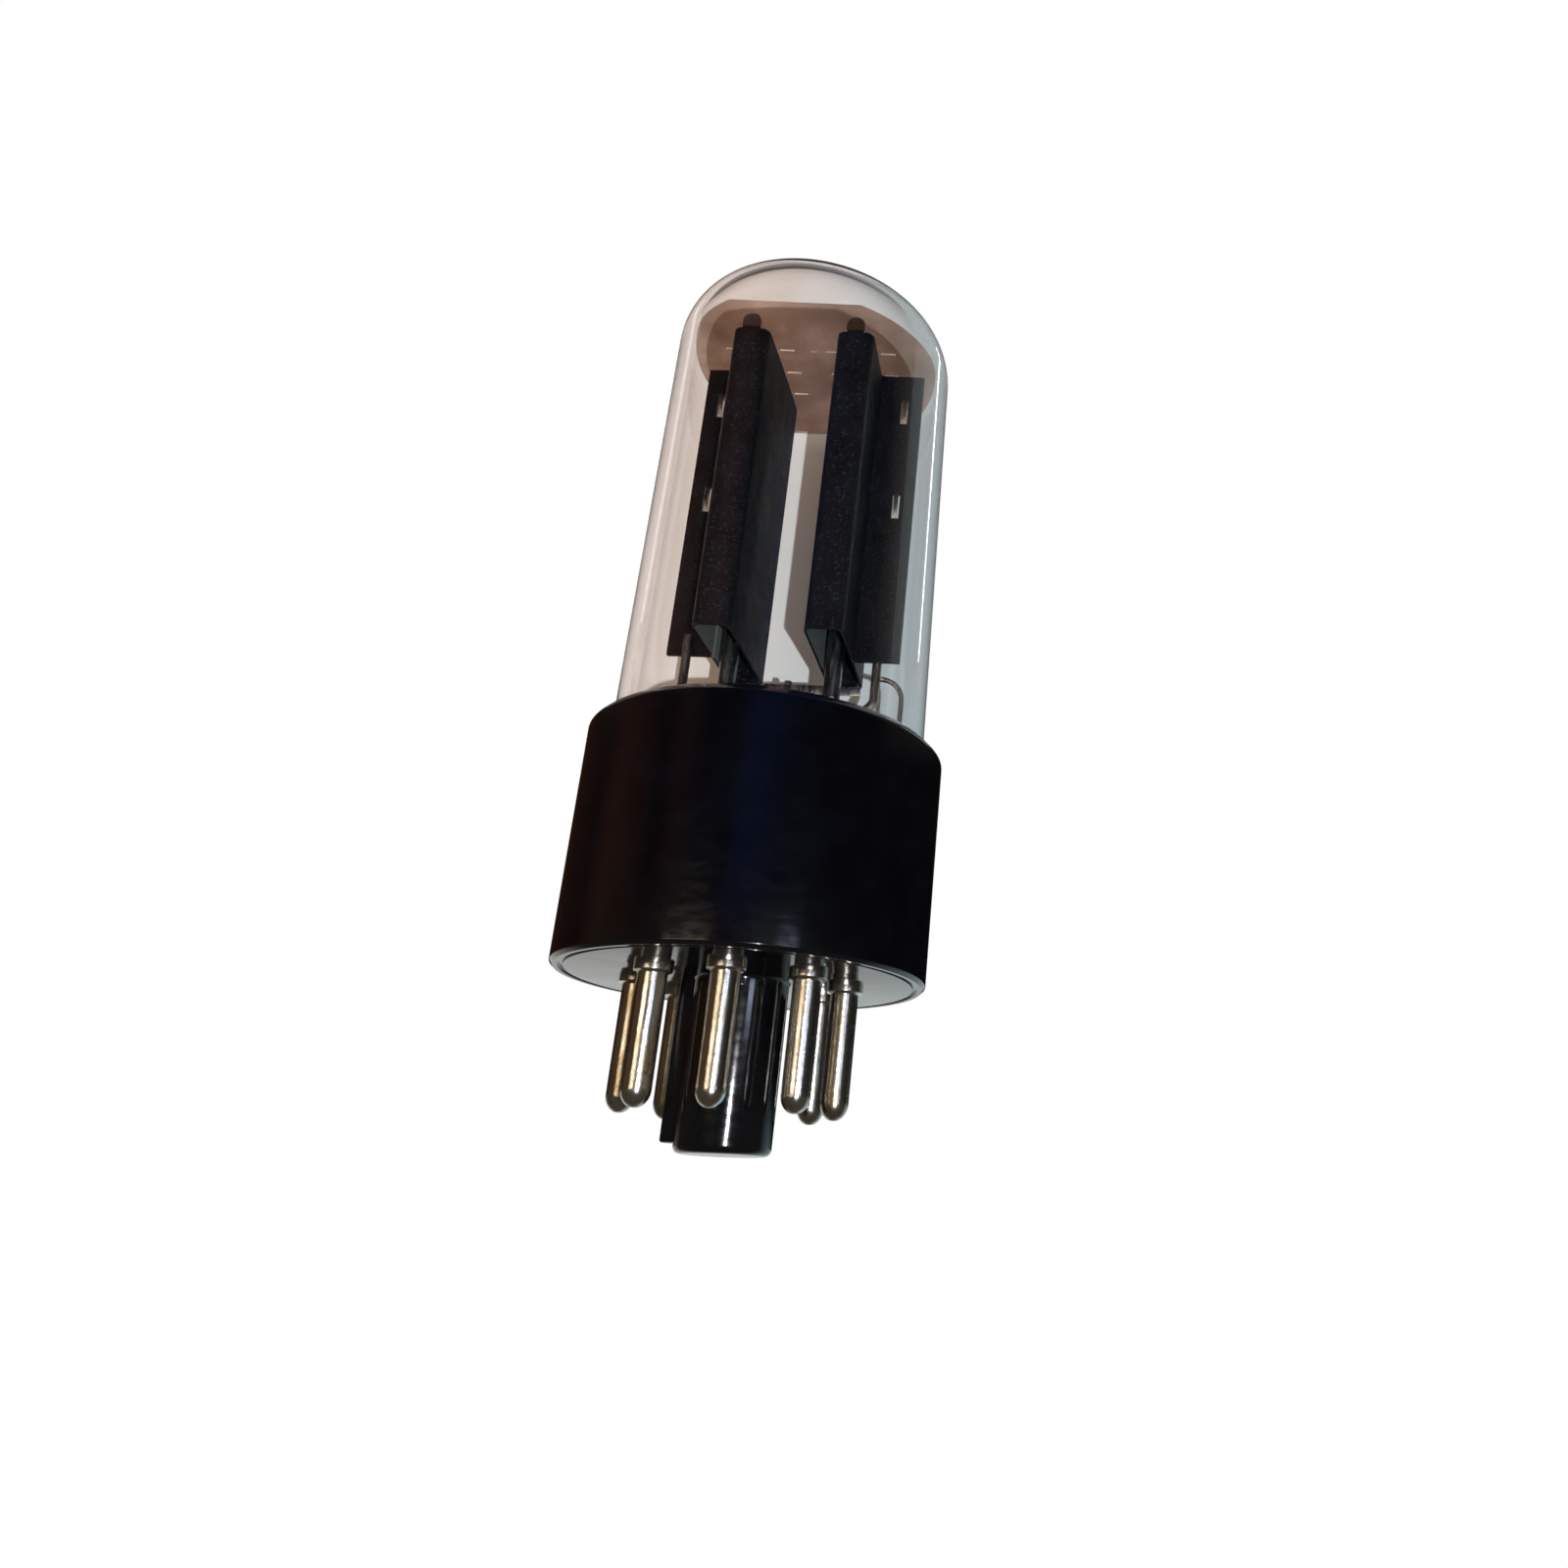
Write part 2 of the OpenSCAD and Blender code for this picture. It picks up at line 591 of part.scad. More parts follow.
// The mica disc with its two flats, which spaces the anodes and cathodes at the top
module mica_disc() {
    r = bulb_top_r - bulb_wall - mica_clearance;
    cut_h = mica_t + 2 * cut;
    // The holes of the ears are this long along Y, and the ear's sheet is in their middle
    ear_hole_t = 0.7;
    ear_y = anode_len / 2 - sheet_t / 2;
    slit_x = anode_w / 2 + slit_gap + slit_len / 2;
    color("#a08a7c", 0.6) above_seat() translate([0, 0, mica_h]) difference() {
        intersection() {
            cylinder(r = r, h = mica_t, $fn = 96);
            translate([-r - cut, -mica_flats / 2, -cut]) cube([2 * (r + cut), mica_flats, cut_h]);
        }
        for (x = [-anode_x, anode_x]) {
            translate([x, 0, -cut]) cylinder(r = sleeve_r, h = cut_h);
            for (y = [-1, 1]) translate([x, y * ear_y, mica_t / 2])
                cube([ear_w + 2 * hole_clearance, ear_hole_t, cut_h], center = true);
            for (y = [-1, 0, 1], s = [-1, 1]) translate([x + s * slit_x, y * slit_pitch, mica_t / 2])
                cube([slit_len, slit_w, cut_h], center = true);
        }
    }
}

// The getter's wire: welded to the right rod, bent out and down to the cup
module getter_wire() {
    start_x = rod_x + rod_r + weld_gap;
    bend_r = getter_x - start_x;
    top_h = anode_bottom_h - getter_drop;
    color("#b0aca4") above_seat() wire(
        concat([for (p = arc([start_x, top_h - bend_r], bend_r, 90, 0, 10)) [p[0], rod_y, p[1]]],
            [[getter_x, rod_y, getter_h + getter_d / 2]]),
        getter_wire_d / 2, [0, 1, 0]);
}

// The shallow cup of the getter, which faces the glass
module getter_cup() {
    wall = 0.25;
    corner = 0.3;
    r = getter_d / 2;
    color("#8f8c86") above_seat() translate([getter_x - getter_depth / 2, rod_y, getter_h])
        rotate([0, 90, 0]) rotate_extrude() polygon([
            [0, 0], [r - corner, 0], [r, corner], [r, getter_depth], [r - wall, getter_depth],
            [r - wall, wall + corner / 2], [r - wall - corner / 2, wall], [0, wall]]);
}

base_shell();
pin(1);  // pin_1
pin(2);  // pin_2
pin(3);  // pin_3
pin(4);  // pin_4
pin(5);  // pin_5
pin(6);  // pin_6
pin(7);  // pin_7
pin(8);  // pin_8
pin_solder();
base_cement();
glass_bulb();
glass_stem();
exhaust_tube();
anode(-1);  // anode_left
anode(1);  // anode_right
anode_rod(-1);  // anode_rod_left
anode_rod(1);  // anode_rod_right
cathode(-1);  // cathode_left
cathode(1);  // cathode_right
cathode_ribbon();
heater(-1);  // heater_left
heater(1);  // heater_right
heater_bridge();
heater_link(-1);  // heater_link_left
heater_link(1);  // heater_link_right
lead_anode_left();
lead_anode_right();
lead_heater_left();
lead_heater_right();
lead_cathode();
mica_disc();
getter_wire();
getter_cup();
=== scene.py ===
"""Looks of the rectifier tube: a clear blown bulb with two black anodes on a moulded octal base."""

import json
import math

import bmesh
import bpy
from mathutils import Matrix, Vector


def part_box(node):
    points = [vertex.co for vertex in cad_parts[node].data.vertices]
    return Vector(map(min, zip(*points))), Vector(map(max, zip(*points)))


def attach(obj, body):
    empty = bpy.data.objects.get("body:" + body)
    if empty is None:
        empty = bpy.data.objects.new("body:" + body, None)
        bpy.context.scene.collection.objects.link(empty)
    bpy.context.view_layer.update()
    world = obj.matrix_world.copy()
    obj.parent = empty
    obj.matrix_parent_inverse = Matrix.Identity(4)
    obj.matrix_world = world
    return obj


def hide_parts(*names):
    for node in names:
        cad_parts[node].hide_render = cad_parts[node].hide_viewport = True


MM = 0.001
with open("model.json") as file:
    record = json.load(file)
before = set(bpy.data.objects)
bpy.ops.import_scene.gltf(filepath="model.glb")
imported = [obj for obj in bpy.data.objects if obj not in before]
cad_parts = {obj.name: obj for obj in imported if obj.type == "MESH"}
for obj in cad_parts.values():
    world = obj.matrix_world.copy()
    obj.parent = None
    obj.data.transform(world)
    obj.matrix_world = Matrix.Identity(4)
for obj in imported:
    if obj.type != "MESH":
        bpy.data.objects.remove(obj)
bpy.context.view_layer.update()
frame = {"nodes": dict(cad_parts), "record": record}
bpy.ops.object.select_all(action="DESELECT")

# Heights in this script are in mm above the underside of the base, as in the drawing of the part
mounts = {mount["name"]: mount for mount in frame["record"]["mounts"]}
SEAT = mounts["seat"]["pos_m"][2] / MM


def box_mm(name):
    """Lowest and highest corners of a CAD node in mm, with heights above the base's underside."""
    lift = Vector((0, 0, SEAT))
    low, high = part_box(name)
    return low / MM - lift, high / MM - lift


# Sizes that the frame gives
base_low, base_high = box_mm("base_shell")
bulb_low, bulb_high = box_mm("glass_bulb")
stem_low, stem_high = box_mm("glass_stem")
mica_low, mica_high = box_mm("mica_disc")
anode_low, anode_high = box_mm("anode_right")
sleeve_low, sleeve_high = box_mm("cathode_right")
ribbon_low, ribbon_high = box_mm("cathode_ribbon")
link_low, link_high = box_mm("heater_link_right")
bridge_low, bridge_high = box_mm("heater_bridge")
heater_low, heater_high = box_mm("heater_right")
pin_low, pin_high = box_mm("pin_5")
PIN_COUNT = mounts["plug"]["dims"]["count"]
PIN_R = mounts["pin_1_shank"]["dims"]["r_mm"]

# Moulded base
CUP_WALL = 1.6
FLOOR_T = 3
RIM_BEVEL = 0.8
HEEL_BEVEL = 0.3
CUP_FLOOR_ROUND = 0.4
CUP_LIP_ROUND = 0.2
RIM_ROUNDS = (0.25, 0.5)
HEEL_ROUNDS = (0.15, 0.1)
GROOVE_INSET = 1.1
GROOVE_W = 0.4
GROOVE_DEPTH = 0.25
GROOVE_LIP_ROUND = 0.06
GROOVE_FLOOR_ROUND = 0.05
SPIGOT_R = mounts["spigot"]["dims"]["r_mm"]
SPIGOT_ROUND = 0.6
SPIGOT_ROOT_ROUND = 0.3
SPIGOT_BORE_R = 2.6
SPIGOT_END_T = 1.4
KEY_W = 2.4
KEY_REACH = 5.4
KEY_ANGLE = math.radians(163)
KEY_END = 0.9
KEY_ROUND = 0.25

# Pins
PIN_WALL = 0.45
PIN_DOME = 1.3
PIN_HOLE_R = 0.5
PIN_COLLAR_H = 0.7
PIN_COLLAR_SLOPE = 0.1
PIN_HEAD_H = 0.5
PIN_ROUND = 0.15
SOLDER_NUB_R = 0.52
SOLDER_NUB_H = 0.2
SOLDER_NUB_TOP = 0.08
SOLDER_SEAT = 0.3

# Glass
BULB_WALL = 0.9
BULB_TAPER = 0.4
BULB_TAPER_START = 2
SHOULDER_R = 7
NECK_INSET = 2.25
NECK_STRAIGHT = 2
NECK_ROUND = 1.5
NECK_TOP = 15
SIDE_ROUND = 3
STEM_R = 6.2
STEM_WALL = 1
FLARE_LIP = 0.3
FLARE_LIP_ROUND = 0.4
FLARE_ROUND = 3.6
FLARE_INNER_ROUND = 3
PINCH_BOTTOM = 15.5
PINCH_RX = 6.5
PINCH_RY = 2.8
# From the round tube to the flat pinch: radius along X, height over PINCH_BOTTOM, radius along Y
PINCH_SHOULDER = [(STEM_R, -0.6, STEM_R), (6.3, 0, 5.4), (6.4, 0.9, 4.3), (PINCH_RX, 1.9, 3.2),
                  (PINCH_RX, 2.9, PINCH_RY)]
# Rounded top of the pinch: how far its outline goes in along X, down from the top and in along Y
PINCH_EDGE = [(0, 0.6, 0), (0.1, 0.25, 0.12), (0.4, 0.05, 0.4), (0.9, 0, 0.8)]

# Anodes and what they hold. The tabs are the tongues clinched in the windows of the flanges.
ANODE_W = 3.5
ANODE_CORNER = 0.9
SEAM_FOLD_R = 0.3
SHEET_T = 0.25
SEAM_GAP = 0.02
EAR_H = 1.4
WINDOW_INSET = 1.7
WINDOW_W = 0.7
WINDOW_H = 2.8
WINDOW_DROPS = (15, 4.2)
TAB_W = 0.42
TAB_T = 0.14
TAB_BULGE = 0.4
TAB_OVERLAP = 0.08
TAB_STEPS = 10
ANODE_X = anode_low.x + ANODE_W / 2
ANODE_LEN = anode_high.y - anode_low.y
SLEEVE_R = (sleeve_high.x - sleeve_low.x) / 2
SLEEVE_WALL = 0.1
HEATER_R = 0.2
HEATER_PITCH = 0.7
LEAD_R = 0.35
LEAD_END = 0.6
LEAD_LAP = 0.5
ROD_R = 0.45
ROD_X = anode_high.x - 2.15
ROD_Y = SHEET_T + ROD_R
ROD_OVERLAP = 1.7
ROD_BEND_RISE = 4.8
SEAL_RISE = 0.3
SEAL_PULL = 1.6
ANODE_SEAL_X = 4.3
HEATER_SEAL_X = 2.7
CATHODE_SEAL = Vector((0.5, 2.1, 0))
GETTER_WIRE_R = 0.25
GETTER_DROP = 1.4

# Mica. Its slits are drawn 0.6 mm wide, where the real ones are about 0.4, because finer ones don't show.
SLIT_LEN = 1.5
SLIT_W = 0.6
SLIT_PITCH = 3.5
SLIT_GAP = 0.2
EAR_HOLE_T = 0.7
EAR_HOLE_PLAY = 0.1
MICA_EDGE = 0.04

# Floor and paper. FLOOR_GLOW is the share of the floor's own white in what the camera sees of it; the
# rest is lit and keeps the tube's shadow.
FLOOR_GAP = 0.02
FLOOR_SIZE = 6
FLOOR_GLOW = 0.55
PAPER_Y = 15.8
PAPER_W = 160
PAPER_HEIGHTS = (14, 130)
PAPER_TINTS = [(0.40, "#fffaf6"), (0.44, "#f4f3ef"), (0.46, "#f8fcfd"), (0.52, "#e2eff4"),
               (0.56, "#bdd2d9")]

# The room that the tube mirrors, with colours from its left at 0 to its right at 1: HIGH is in front and
# shows in the side of the base and in the bulb, with a brown wall on the left and a dim blue window over
# the camera. LOW shows in the pins and the spigot, BEHIND in the edges, TABLE in the base's underside.
MIRROR_HIGH = [(0.0, "#6b3f2c"), (0.12, "#1c100c"), (0.2, "#4a2a20"), (0.3, "#0a0c14"), (0.44, "#0c1322"),
               (0.53, "#1c3468"), (0.62, "#1c3264"), (0.76, "#0c1220"), (1.0, "#050608")]
MIRROR_LOW = [(0.0, "#5a452e"), (0.3, "#241f18"), (0.55, "#2c2b24"), (0.72, "#5a5c52"), (0.9, "#3c3f3a"),
              (1.0, "#16191b")]
MIRROR_BEHIND = [(0.2, "#2e1a12"), (0.5, "#0b090a"), (0.8, "#060709")]
MIRROR_BEHIND_HIGH = "#5f5a57"
MIRROR_TABLE = [(0.2, "#efebe4"), (0.8, "#bcd8e2")]
MIRROR_TABLE_NEAR = "#4a463f"
# What shows through the glass past the paper, and the plain light in front of the tube and behind it
THROUGH = [(0.0, "#ece4de"), (0.4, "#e2d8d0"), (0.6, "#d6dcdc"), (1.0, "#e2e8ea")]
FILL_FRONT = "#91745f"
FILL_BACK = "#c4c8cc"

# Where one part of the room goes over into the next, as the upward or backward share of a direction
TABLE_TO_LOW = (-0.02, 0.02)
LOW_TO_HIGH = (0.14, 0.2)
BEHIND_TO_HIGH = (0.36, 0.44)
FRONT_TO_BEHIND = (-0.1, 0.2)
TABLE_NEAR_TO_FAR = (0.35, 0.75)
FILL_FRONT_TO_BACK = (0.0, 0.6)
INNER_DARK_TO_PALE = (0.2, 0.6)
INNER_PALE = 0.8

# Height that the lamps are turned to
LAMP_AIM = 30

# The photograph's camera, fitted to the known sizes of the base and its pins
CAMERA_SIDE = math.radians(14.6)
CAMERA_AWAY = 113.39
CAMERA_DROP = 18.94
CAMERA_YAW = math.radians(0.74)
CAMERA_PITCH = math.radians(19.14)
CAMERA_ROLL = math.radians(-1.8)
CAMERA_LENS = 29.21
CAMERA_SHIFT = -0.2
CAMERA_SENSOR = 36

ROUND_STEPS = 6
SMOOTH_ANGLE = math.radians(32)
WIRE_SMOOTH_ANGLE = math.radians(50)
WELD = 1e-7
CUTTER_REACH = 1


# Modelling
def named(name):
    """Names the object that the last operator made."""
    piece = bpy.context.object
    piece.name = name
    piece.data.name = name
    return piece


def only(piece):
    """Makes the piece the one that operators act on."""
    bpy.ops.object.select_all(action="DESELECT")
    piece.select_set(True)
    bpy.context.view_layer.objects.active = piece


def settle(piece, angle=SMOOTH_ANGLE):
    """Leaves edit mode, puts the piece's place into its mesh and smooths its round faces."""
    bpy.ops.object.mode_set(mode="OBJECT")
    only(piece)
    bpy.ops.object.transform_apply(location=True, rotation=True, scale=True)
    bpy.ops.object.shade_smooth_by_angle(angle=angle)
    return piece


def edit_points():
    """Enters edit mode with the points as what is selected."""
    bpy.ops.object.mode_set(mode="EDIT")
    bpy.ops.mesh.select_mode(type="VERT")


def close_up():
    """Welds doubled points in edit mode and turns all faces outwards."""
    bpy.ops.mesh.select_all(action="SELECT")
    bpy.ops.mesh.remove_doubles(threshold=WELD)
    bpy.ops.mesh.normals_make_consistent(inside=False)


def modify(piece, kind, **settings):
    """Adds a modifier, sets it and applies it."""
    only(piece)
    modifier = piece.modifiers.new(kind.title(), kind)
    for name, value in settings.items():
        setattr(modifier, name, value)
    bpy.ops.object.modifier_apply(modifier=modifier.name)


def carve(piece, tool, operation="DIFFERENCE"):
    """Cuts the tool out of the piece, or joins it on, and removes the tool."""
    modify(piece, "BOOLEAN", object=tool, operation=operation, solver="EXACT")
    bpy.data.objects.remove(tool)


def joined(name, pieces):
    """Joins pieces into one object."""
    bpy.ops.object.select_all(action="DESELECT")
    for piece in pieces:
        piece.select_set(True)
    bpy.context.view_layer.objects.active = pieces[0]
    bpy.ops.object.join()
    return named(name)


def block(name, low, high, turn=0):
    """A box between two corners in mm, turned about the tube's axis."""
    low, high = Vector(low), Vector(high)
    middle = (low + high) / 2 + Vector((0, 0, SEAT))
    turned_middle = Matrix.Rotation(turn, 3, "Z") @ middle
    bpy.ops.mesh.primitive_cube_add(size=1, location=turned_middle * MM, rotation=(0, 0, turn))
    piece = named(name)
    piece.scale = (high - low) * MM
    bpy.ops.object.transform_apply(location=True, rotation=True, scale=True)
    return piece


def ribbon(name, low, high, edge=0.04):
    """A thin ribbon between two corners in mm, with its cut edges eased."""
    piece = block(name, low, high)
    modify(piece, "BEVEL", width=edge * MM, segments=2, limit_method="NONE")
    return settle(piece)


def rounded(corners, steps=ROUND_STEPS):
    """Points through corners (x, y) or (x, y, radius), with an arc where a corner has a radius."""
    points = []
    for i, (x, y, *radius) in enumerate(corners):
        here = Vector((x, y))
        if not radius:
            points.append(here)
            continue
        before = (Vector(corners[i - 1][:2]) - here).normalized()
        after = (Vector(corners[i + 1][:2]) - here).normalized()
        half = before.angle(after) / 2
        centre = here + (before + after).normalized() * radius[0] / math.sin(half)
        first = here + before * radius[0] / math.tan(half) - centre
        last = here + after * radius[0] / math.tan(half) - centre
        sweep = math.atan2(first.x * last.y - first.y * last.x, first.dot(last))
        points += [centre + Matrix.Rotation(sweep * k / steps, 2) @ first for k in range(steps + 1)]
    return points


def turned(name, outline, sides=64, at=(0, 0)):
    """A round piece: a ring is extruded along an outline of (radius, height) in mm, and of
    (radius along X, height, radius along Y) where it is oval. A radius of 0 closes an end."""
    rings = [(p[0], p[1], p[2] if len(p) > 2 else p[0]) for p in outline]
    cap = rings.pop(0) if rings[0][0] == 0 else None
    r, z, ry = rings[0]
    x, y = at[0] * MM, at[1] * MM
    bpy.ops.mesh.primitive_circle_add(vertices=sides, radius=r * MM, location=(x, y, (z + SEAT) * MM))
    piece = named(name)
    edit_points()
    if ry != r:
        bpy.ops.transform.resize(value=(1, ry / r, 1), center_override=(x, y, (z + SEAT) * MM))

    def extrude_to(next_r, next_z, next_ry):
        lift = {"value": (0, 0, (next_z - z) * MM)}
        bpy.ops.mesh.extrude_region_move(TRANSFORM_OT_translate=lift)
        if next_r == 0:
            bpy.ops.mesh.merge(type="CENTER")
        elif (next_r, next_ry) != (r, ry):
            bpy.ops.transform.resize(value=(next_r / r, next_ry / ry, 1),
                                     center_override=(x, y, (next_z + SEAT) * MM))

    for ring in rings[1:]:
        extrude_to(*ring)
        r, z, ry = ring
    if cap:
        bpy.ops.mesh.select_all(action="DESELECT")
        bpy.ops.mesh.select_non_manifold()
        r, z, ry = rings[0]
        extrude_to(*cap)
    close_up()
    return settle(piece)


def path(name, points):
    """A line through points in mm: a plane merged to one vertex, which is extruded from point to point."""
    points = [Vector(p) for p in points]
    start = (points[0] + Vector((0, 0, SEAT))) * MM
    bpy.ops.mesh.primitive_plane_add(size=MM, location=start)
    piece = named(name)
    edit_points()
    bpy.ops.mesh.merge(type="CENTER")
    for here, there in zip(points, points[1:]):
        bpy.ops.mesh.extrude_region_move(TRANSFORM_OT_translate={"value": (there - here) * MM})
    return piece


def wire(name, points, radius):
    """A round wire along points in mm."""
    piece = path(name, points)
    bpy.ops.object.mode_set(mode="OBJECT")
    only(piece)
    bpy.ops.object.convert(target="CURVE")
    line = bpy.context.object.data
    line.bevel_depth = radius * MM
    line.bevel_resolution = 4
    line.use_fill_caps = True
    bpy.ops.object.convert(target="MESH")
    piece = named(name)
    bpy.ops.object.mode_set(mode="EDIT")
    close_up()
    return settle(piece, WIRE_SMOOTH_ANGLE)


def pick(piece, kind, test):
    """Selects in edit mode the verts, edges or faces whose middle in mm passes the test."""
    bpy.ops.mesh.select_mode(type=kind)
    bpy.ops.mesh.select_all(action="DESELECT")
    mesh = bmesh.from_edit_mesh(piece.data)
    parts = {"VERT": mesh.verts, "EDGE": mesh.edges, "FACE": mesh.faces}[kind]
    for part in parts:
        corners = [part.co] if kind == "VERT" else [v.co for v in part.verts]
        middle = piece.matrix_world @ (sum(corners, Vector()) / len(corners)) / MM
        part.select_set(bool(test(middle - Vector((0, 0, SEAT)))))
    bmesh.update_edit_mesh(piece.data)


def dress(piece, material, slot, *replaced):
    """Gives the piece its finish and its place in the part."""
    piece.data.materials.clear()
    piece.data.materials.append(material)
    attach(piece, "root")
    if replaced:
        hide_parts(*replaced)
    return piece


# Materials
def linear(channel):
    """An sRGB channel between 0 and 1 as linear light."""
    return channel / 12.92 if channel <= 0.04045 else ((channel + 0.055) / 1.055) ** 2.4


def colour(code):
    """An sRGB hex colour as Blender's linear colour."""
    return tuple(linear(int(code[i:i + 2], 16) / 255) for i in (1, 3, 5)) + (1,)


def node(tree, kind, links=None, stops=None, **settings):
    """Adds a node: links sets its inputs to values or other nodes' outputs, and stops fills a ramp."""
    new = tree.nodes.new("ShaderNode" + kind)
    for name, value in settings.items():
        setattr(new, name, value)
    for socket, value in (links or {}).items():
        if isinstance(value, bpy.types.NodeSocket):
            tree.links.new(value, new.inputs[socket])
        else:
            new.inputs[socket].default_value = value
    if stops:
        ramp = new.color_ramp.elements
        while len(ramp) < len(stops):
            ramp.new(1)
        for element, (position, shade) in zip(ramp, stops):
            element.position = position
            element.color = colour(shade) if isinstance(shade, str) else (shade, shade, shade, 1)
    return new


def maths(tree, operation, *values, clamp=False):
    """Output of a node that calculates with values or other nodes' outputs."""
    return node(tree, "Math", dict(enumerate(values)), operation=operation, use_clamp=clamp).outputs[0]


def per(size):
    """Scale of a pattern whose marks are this many mm apart."""
    return 1 / (size * MM)


def empty_material(name):
    """A new material with no nodes, its tree and its place in metres."""
    made = bpy.data.materials.new(name)
    made.use_nodes = True
    tree = made.node_tree
    tree.nodes.clear()
    return made, tree, node(tree, "TexCoord").outputs["Object"]


def show(tree, shader):
    """Makes the shader the material's surface."""
    node(tree, "OutputMaterial", {"Surface": shader.outputs[0]})


def phenolic():
    """Black phenolic moulding powder, pressed hot in a polished mould: glossy, a little wavy, with
    fine rub marks round the base."""
    made, tree, place = empty_material("black_phenolic")
    mottle = node(tree, "TexNoise", {"Vector": place, "Scale": per(3), "Detail": 3})
    # The faint navy in this black is a painted reflection of a blue window; the mottle between its two shades
    # is random tone
    shade = node(tree, "ValToRGB", {0: mottle.outputs[0]}, [(0.35, "#050609"), (0.7, "#090b11")])
    flat = node(tree, "Mapping", {"Vector": place, "Scale": (1, 1, 2.2)})
    rub = node(tree, "TexNoise", {
        "Vector": flat.outputs[0], "Scale": per(1.8), "Detail": 5, "Roughness": 0.6})
    gloss = node(tree, "ValToRGB", {0: rub.outputs[0]}, [(0.35, 0.08), (0.75, 0.16)])
    wave = node(tree, "TexNoise", {"Vector": place, "Scale": per(2.6), "Detail": 3})
    swell = node(tree, "Bump", {"Strength": 0.15, "Distance": 0.06 * MM, "Height": wave.outputs[0]})
    grain = node(tree, "Bump", {"Strength": 0.07, "Distance": 0.01 * MM, "Height": rub.outputs[0],
                                "Normal": swell.outputs[0]})
    show(tree, node(tree, "BsdfPrincipled", {
        "Base Color": shade.outputs[0], "Roughness": gloss.outputs[0], "IOR": 1.6,
        "Normal": grain.outputs[0]}))
    return made


def plated_brass():
    """Drawn brass tube with bright nickel plating: pitted, and rubbed through to the brass in places."""
    made, tree, place = empty_material("nickelled_brass")
    long = node(tree, "Mapping", {"Vector": place, "Scale": (1, 1, 0.35)})
    wear = node(tree, "TexNoise", {"Vector": long.outputs[0], "Scale": per(1.6), "Detail": 5})
    shade = node(tree, "ValToRGB", {0: wear.outputs[0]},
                 [(0.34, "#a5977c"), (0.46, "#b9b4a8"), (0.66, "#cbcac5")])
    pits = node(tree, "TexNoise", {"Vector": place, "Scale": per(0.3), "Detail": 4, "Roughness": 0.6})
    gloss = node(tree, "ValToRGB", {0: wear.outputs[0]}, [(0.3, 0.28), (0.7, 0.15)])
    dents = node(tree, "Bump", {"Strength": 0.6, "Distance": 0.035 * MM, "Height": pits.outputs[0]})
    show(tree, node(tree, "BsdfPrincipled", {
        "Base Color": shade.outputs[0], "Metallic": 1, "Roughness": gloss.outputs[0],
        "Normal": dents.outputs[0]}))
    return made


def solder_metal():
    """Tin solder, dipped and left to set: grey, with a soft sheen."""
    made, tree, place = empty_material("tin_solder")
    skin = node(tree, "TexNoise", {"Vector": place, "Scale": per(0.5), "Detail": 4})
    shade = node(tree, "ValToRGB", {0: skin.outputs[0]}, [(0.3, "#8d8a83"), (0.7, "#c9c7c1")])
    ripple = node(tree, "Bump", {"Strength": 0.4, "Distance": 0.03 * MM, "Height": skin.outputs[0]})
    show(tree, node(tree, "BsdfPrincipled", {
        "Base Color": shade.outputs[0], "Metallic": 1, "Roughness": 0.32, "Normal": ripple.outputs[0]}))
    return made


def glass(name, tint, waves_mm):
    """Blown soft glass: clear, gently uneven, with a faint tint. Lamps shine straight through it, and so
    does what scatters off a matt surface."""
    made, tree, place = empty_material(name)
    uneven = node(tree, "TexNoise", {"Vector": place, "Scale": per(waves_mm), "Detail": 1})
    swell = node(tree, "Bump", {"Strength": 0.05, "Distance": 0.1 * MM, "Height": uneven.outputs[0]})
    clear = node(tree, "BsdfPrincipled", {
        "Base Color": colour(tint), "Roughness": 0, "IOR": 1.51, "Transmission Weight": 1,
        "Normal": swell.outputs[0]})
    let_through = node(tree, "BsdfTransparent", {"Color": colour(tint)})
    ray = node(tree, "LightPath")
    straight = maths(tree, "MAXIMUM", ray.outputs["Is Shadow Ray"], ray.outputs["Diffuse Depth"],
                     clamp=True)
    show(tree, node(tree, "MixShader", {0: straight, 1: clear.outputs[0], 2: let_through.outputs[0]}))
    return made


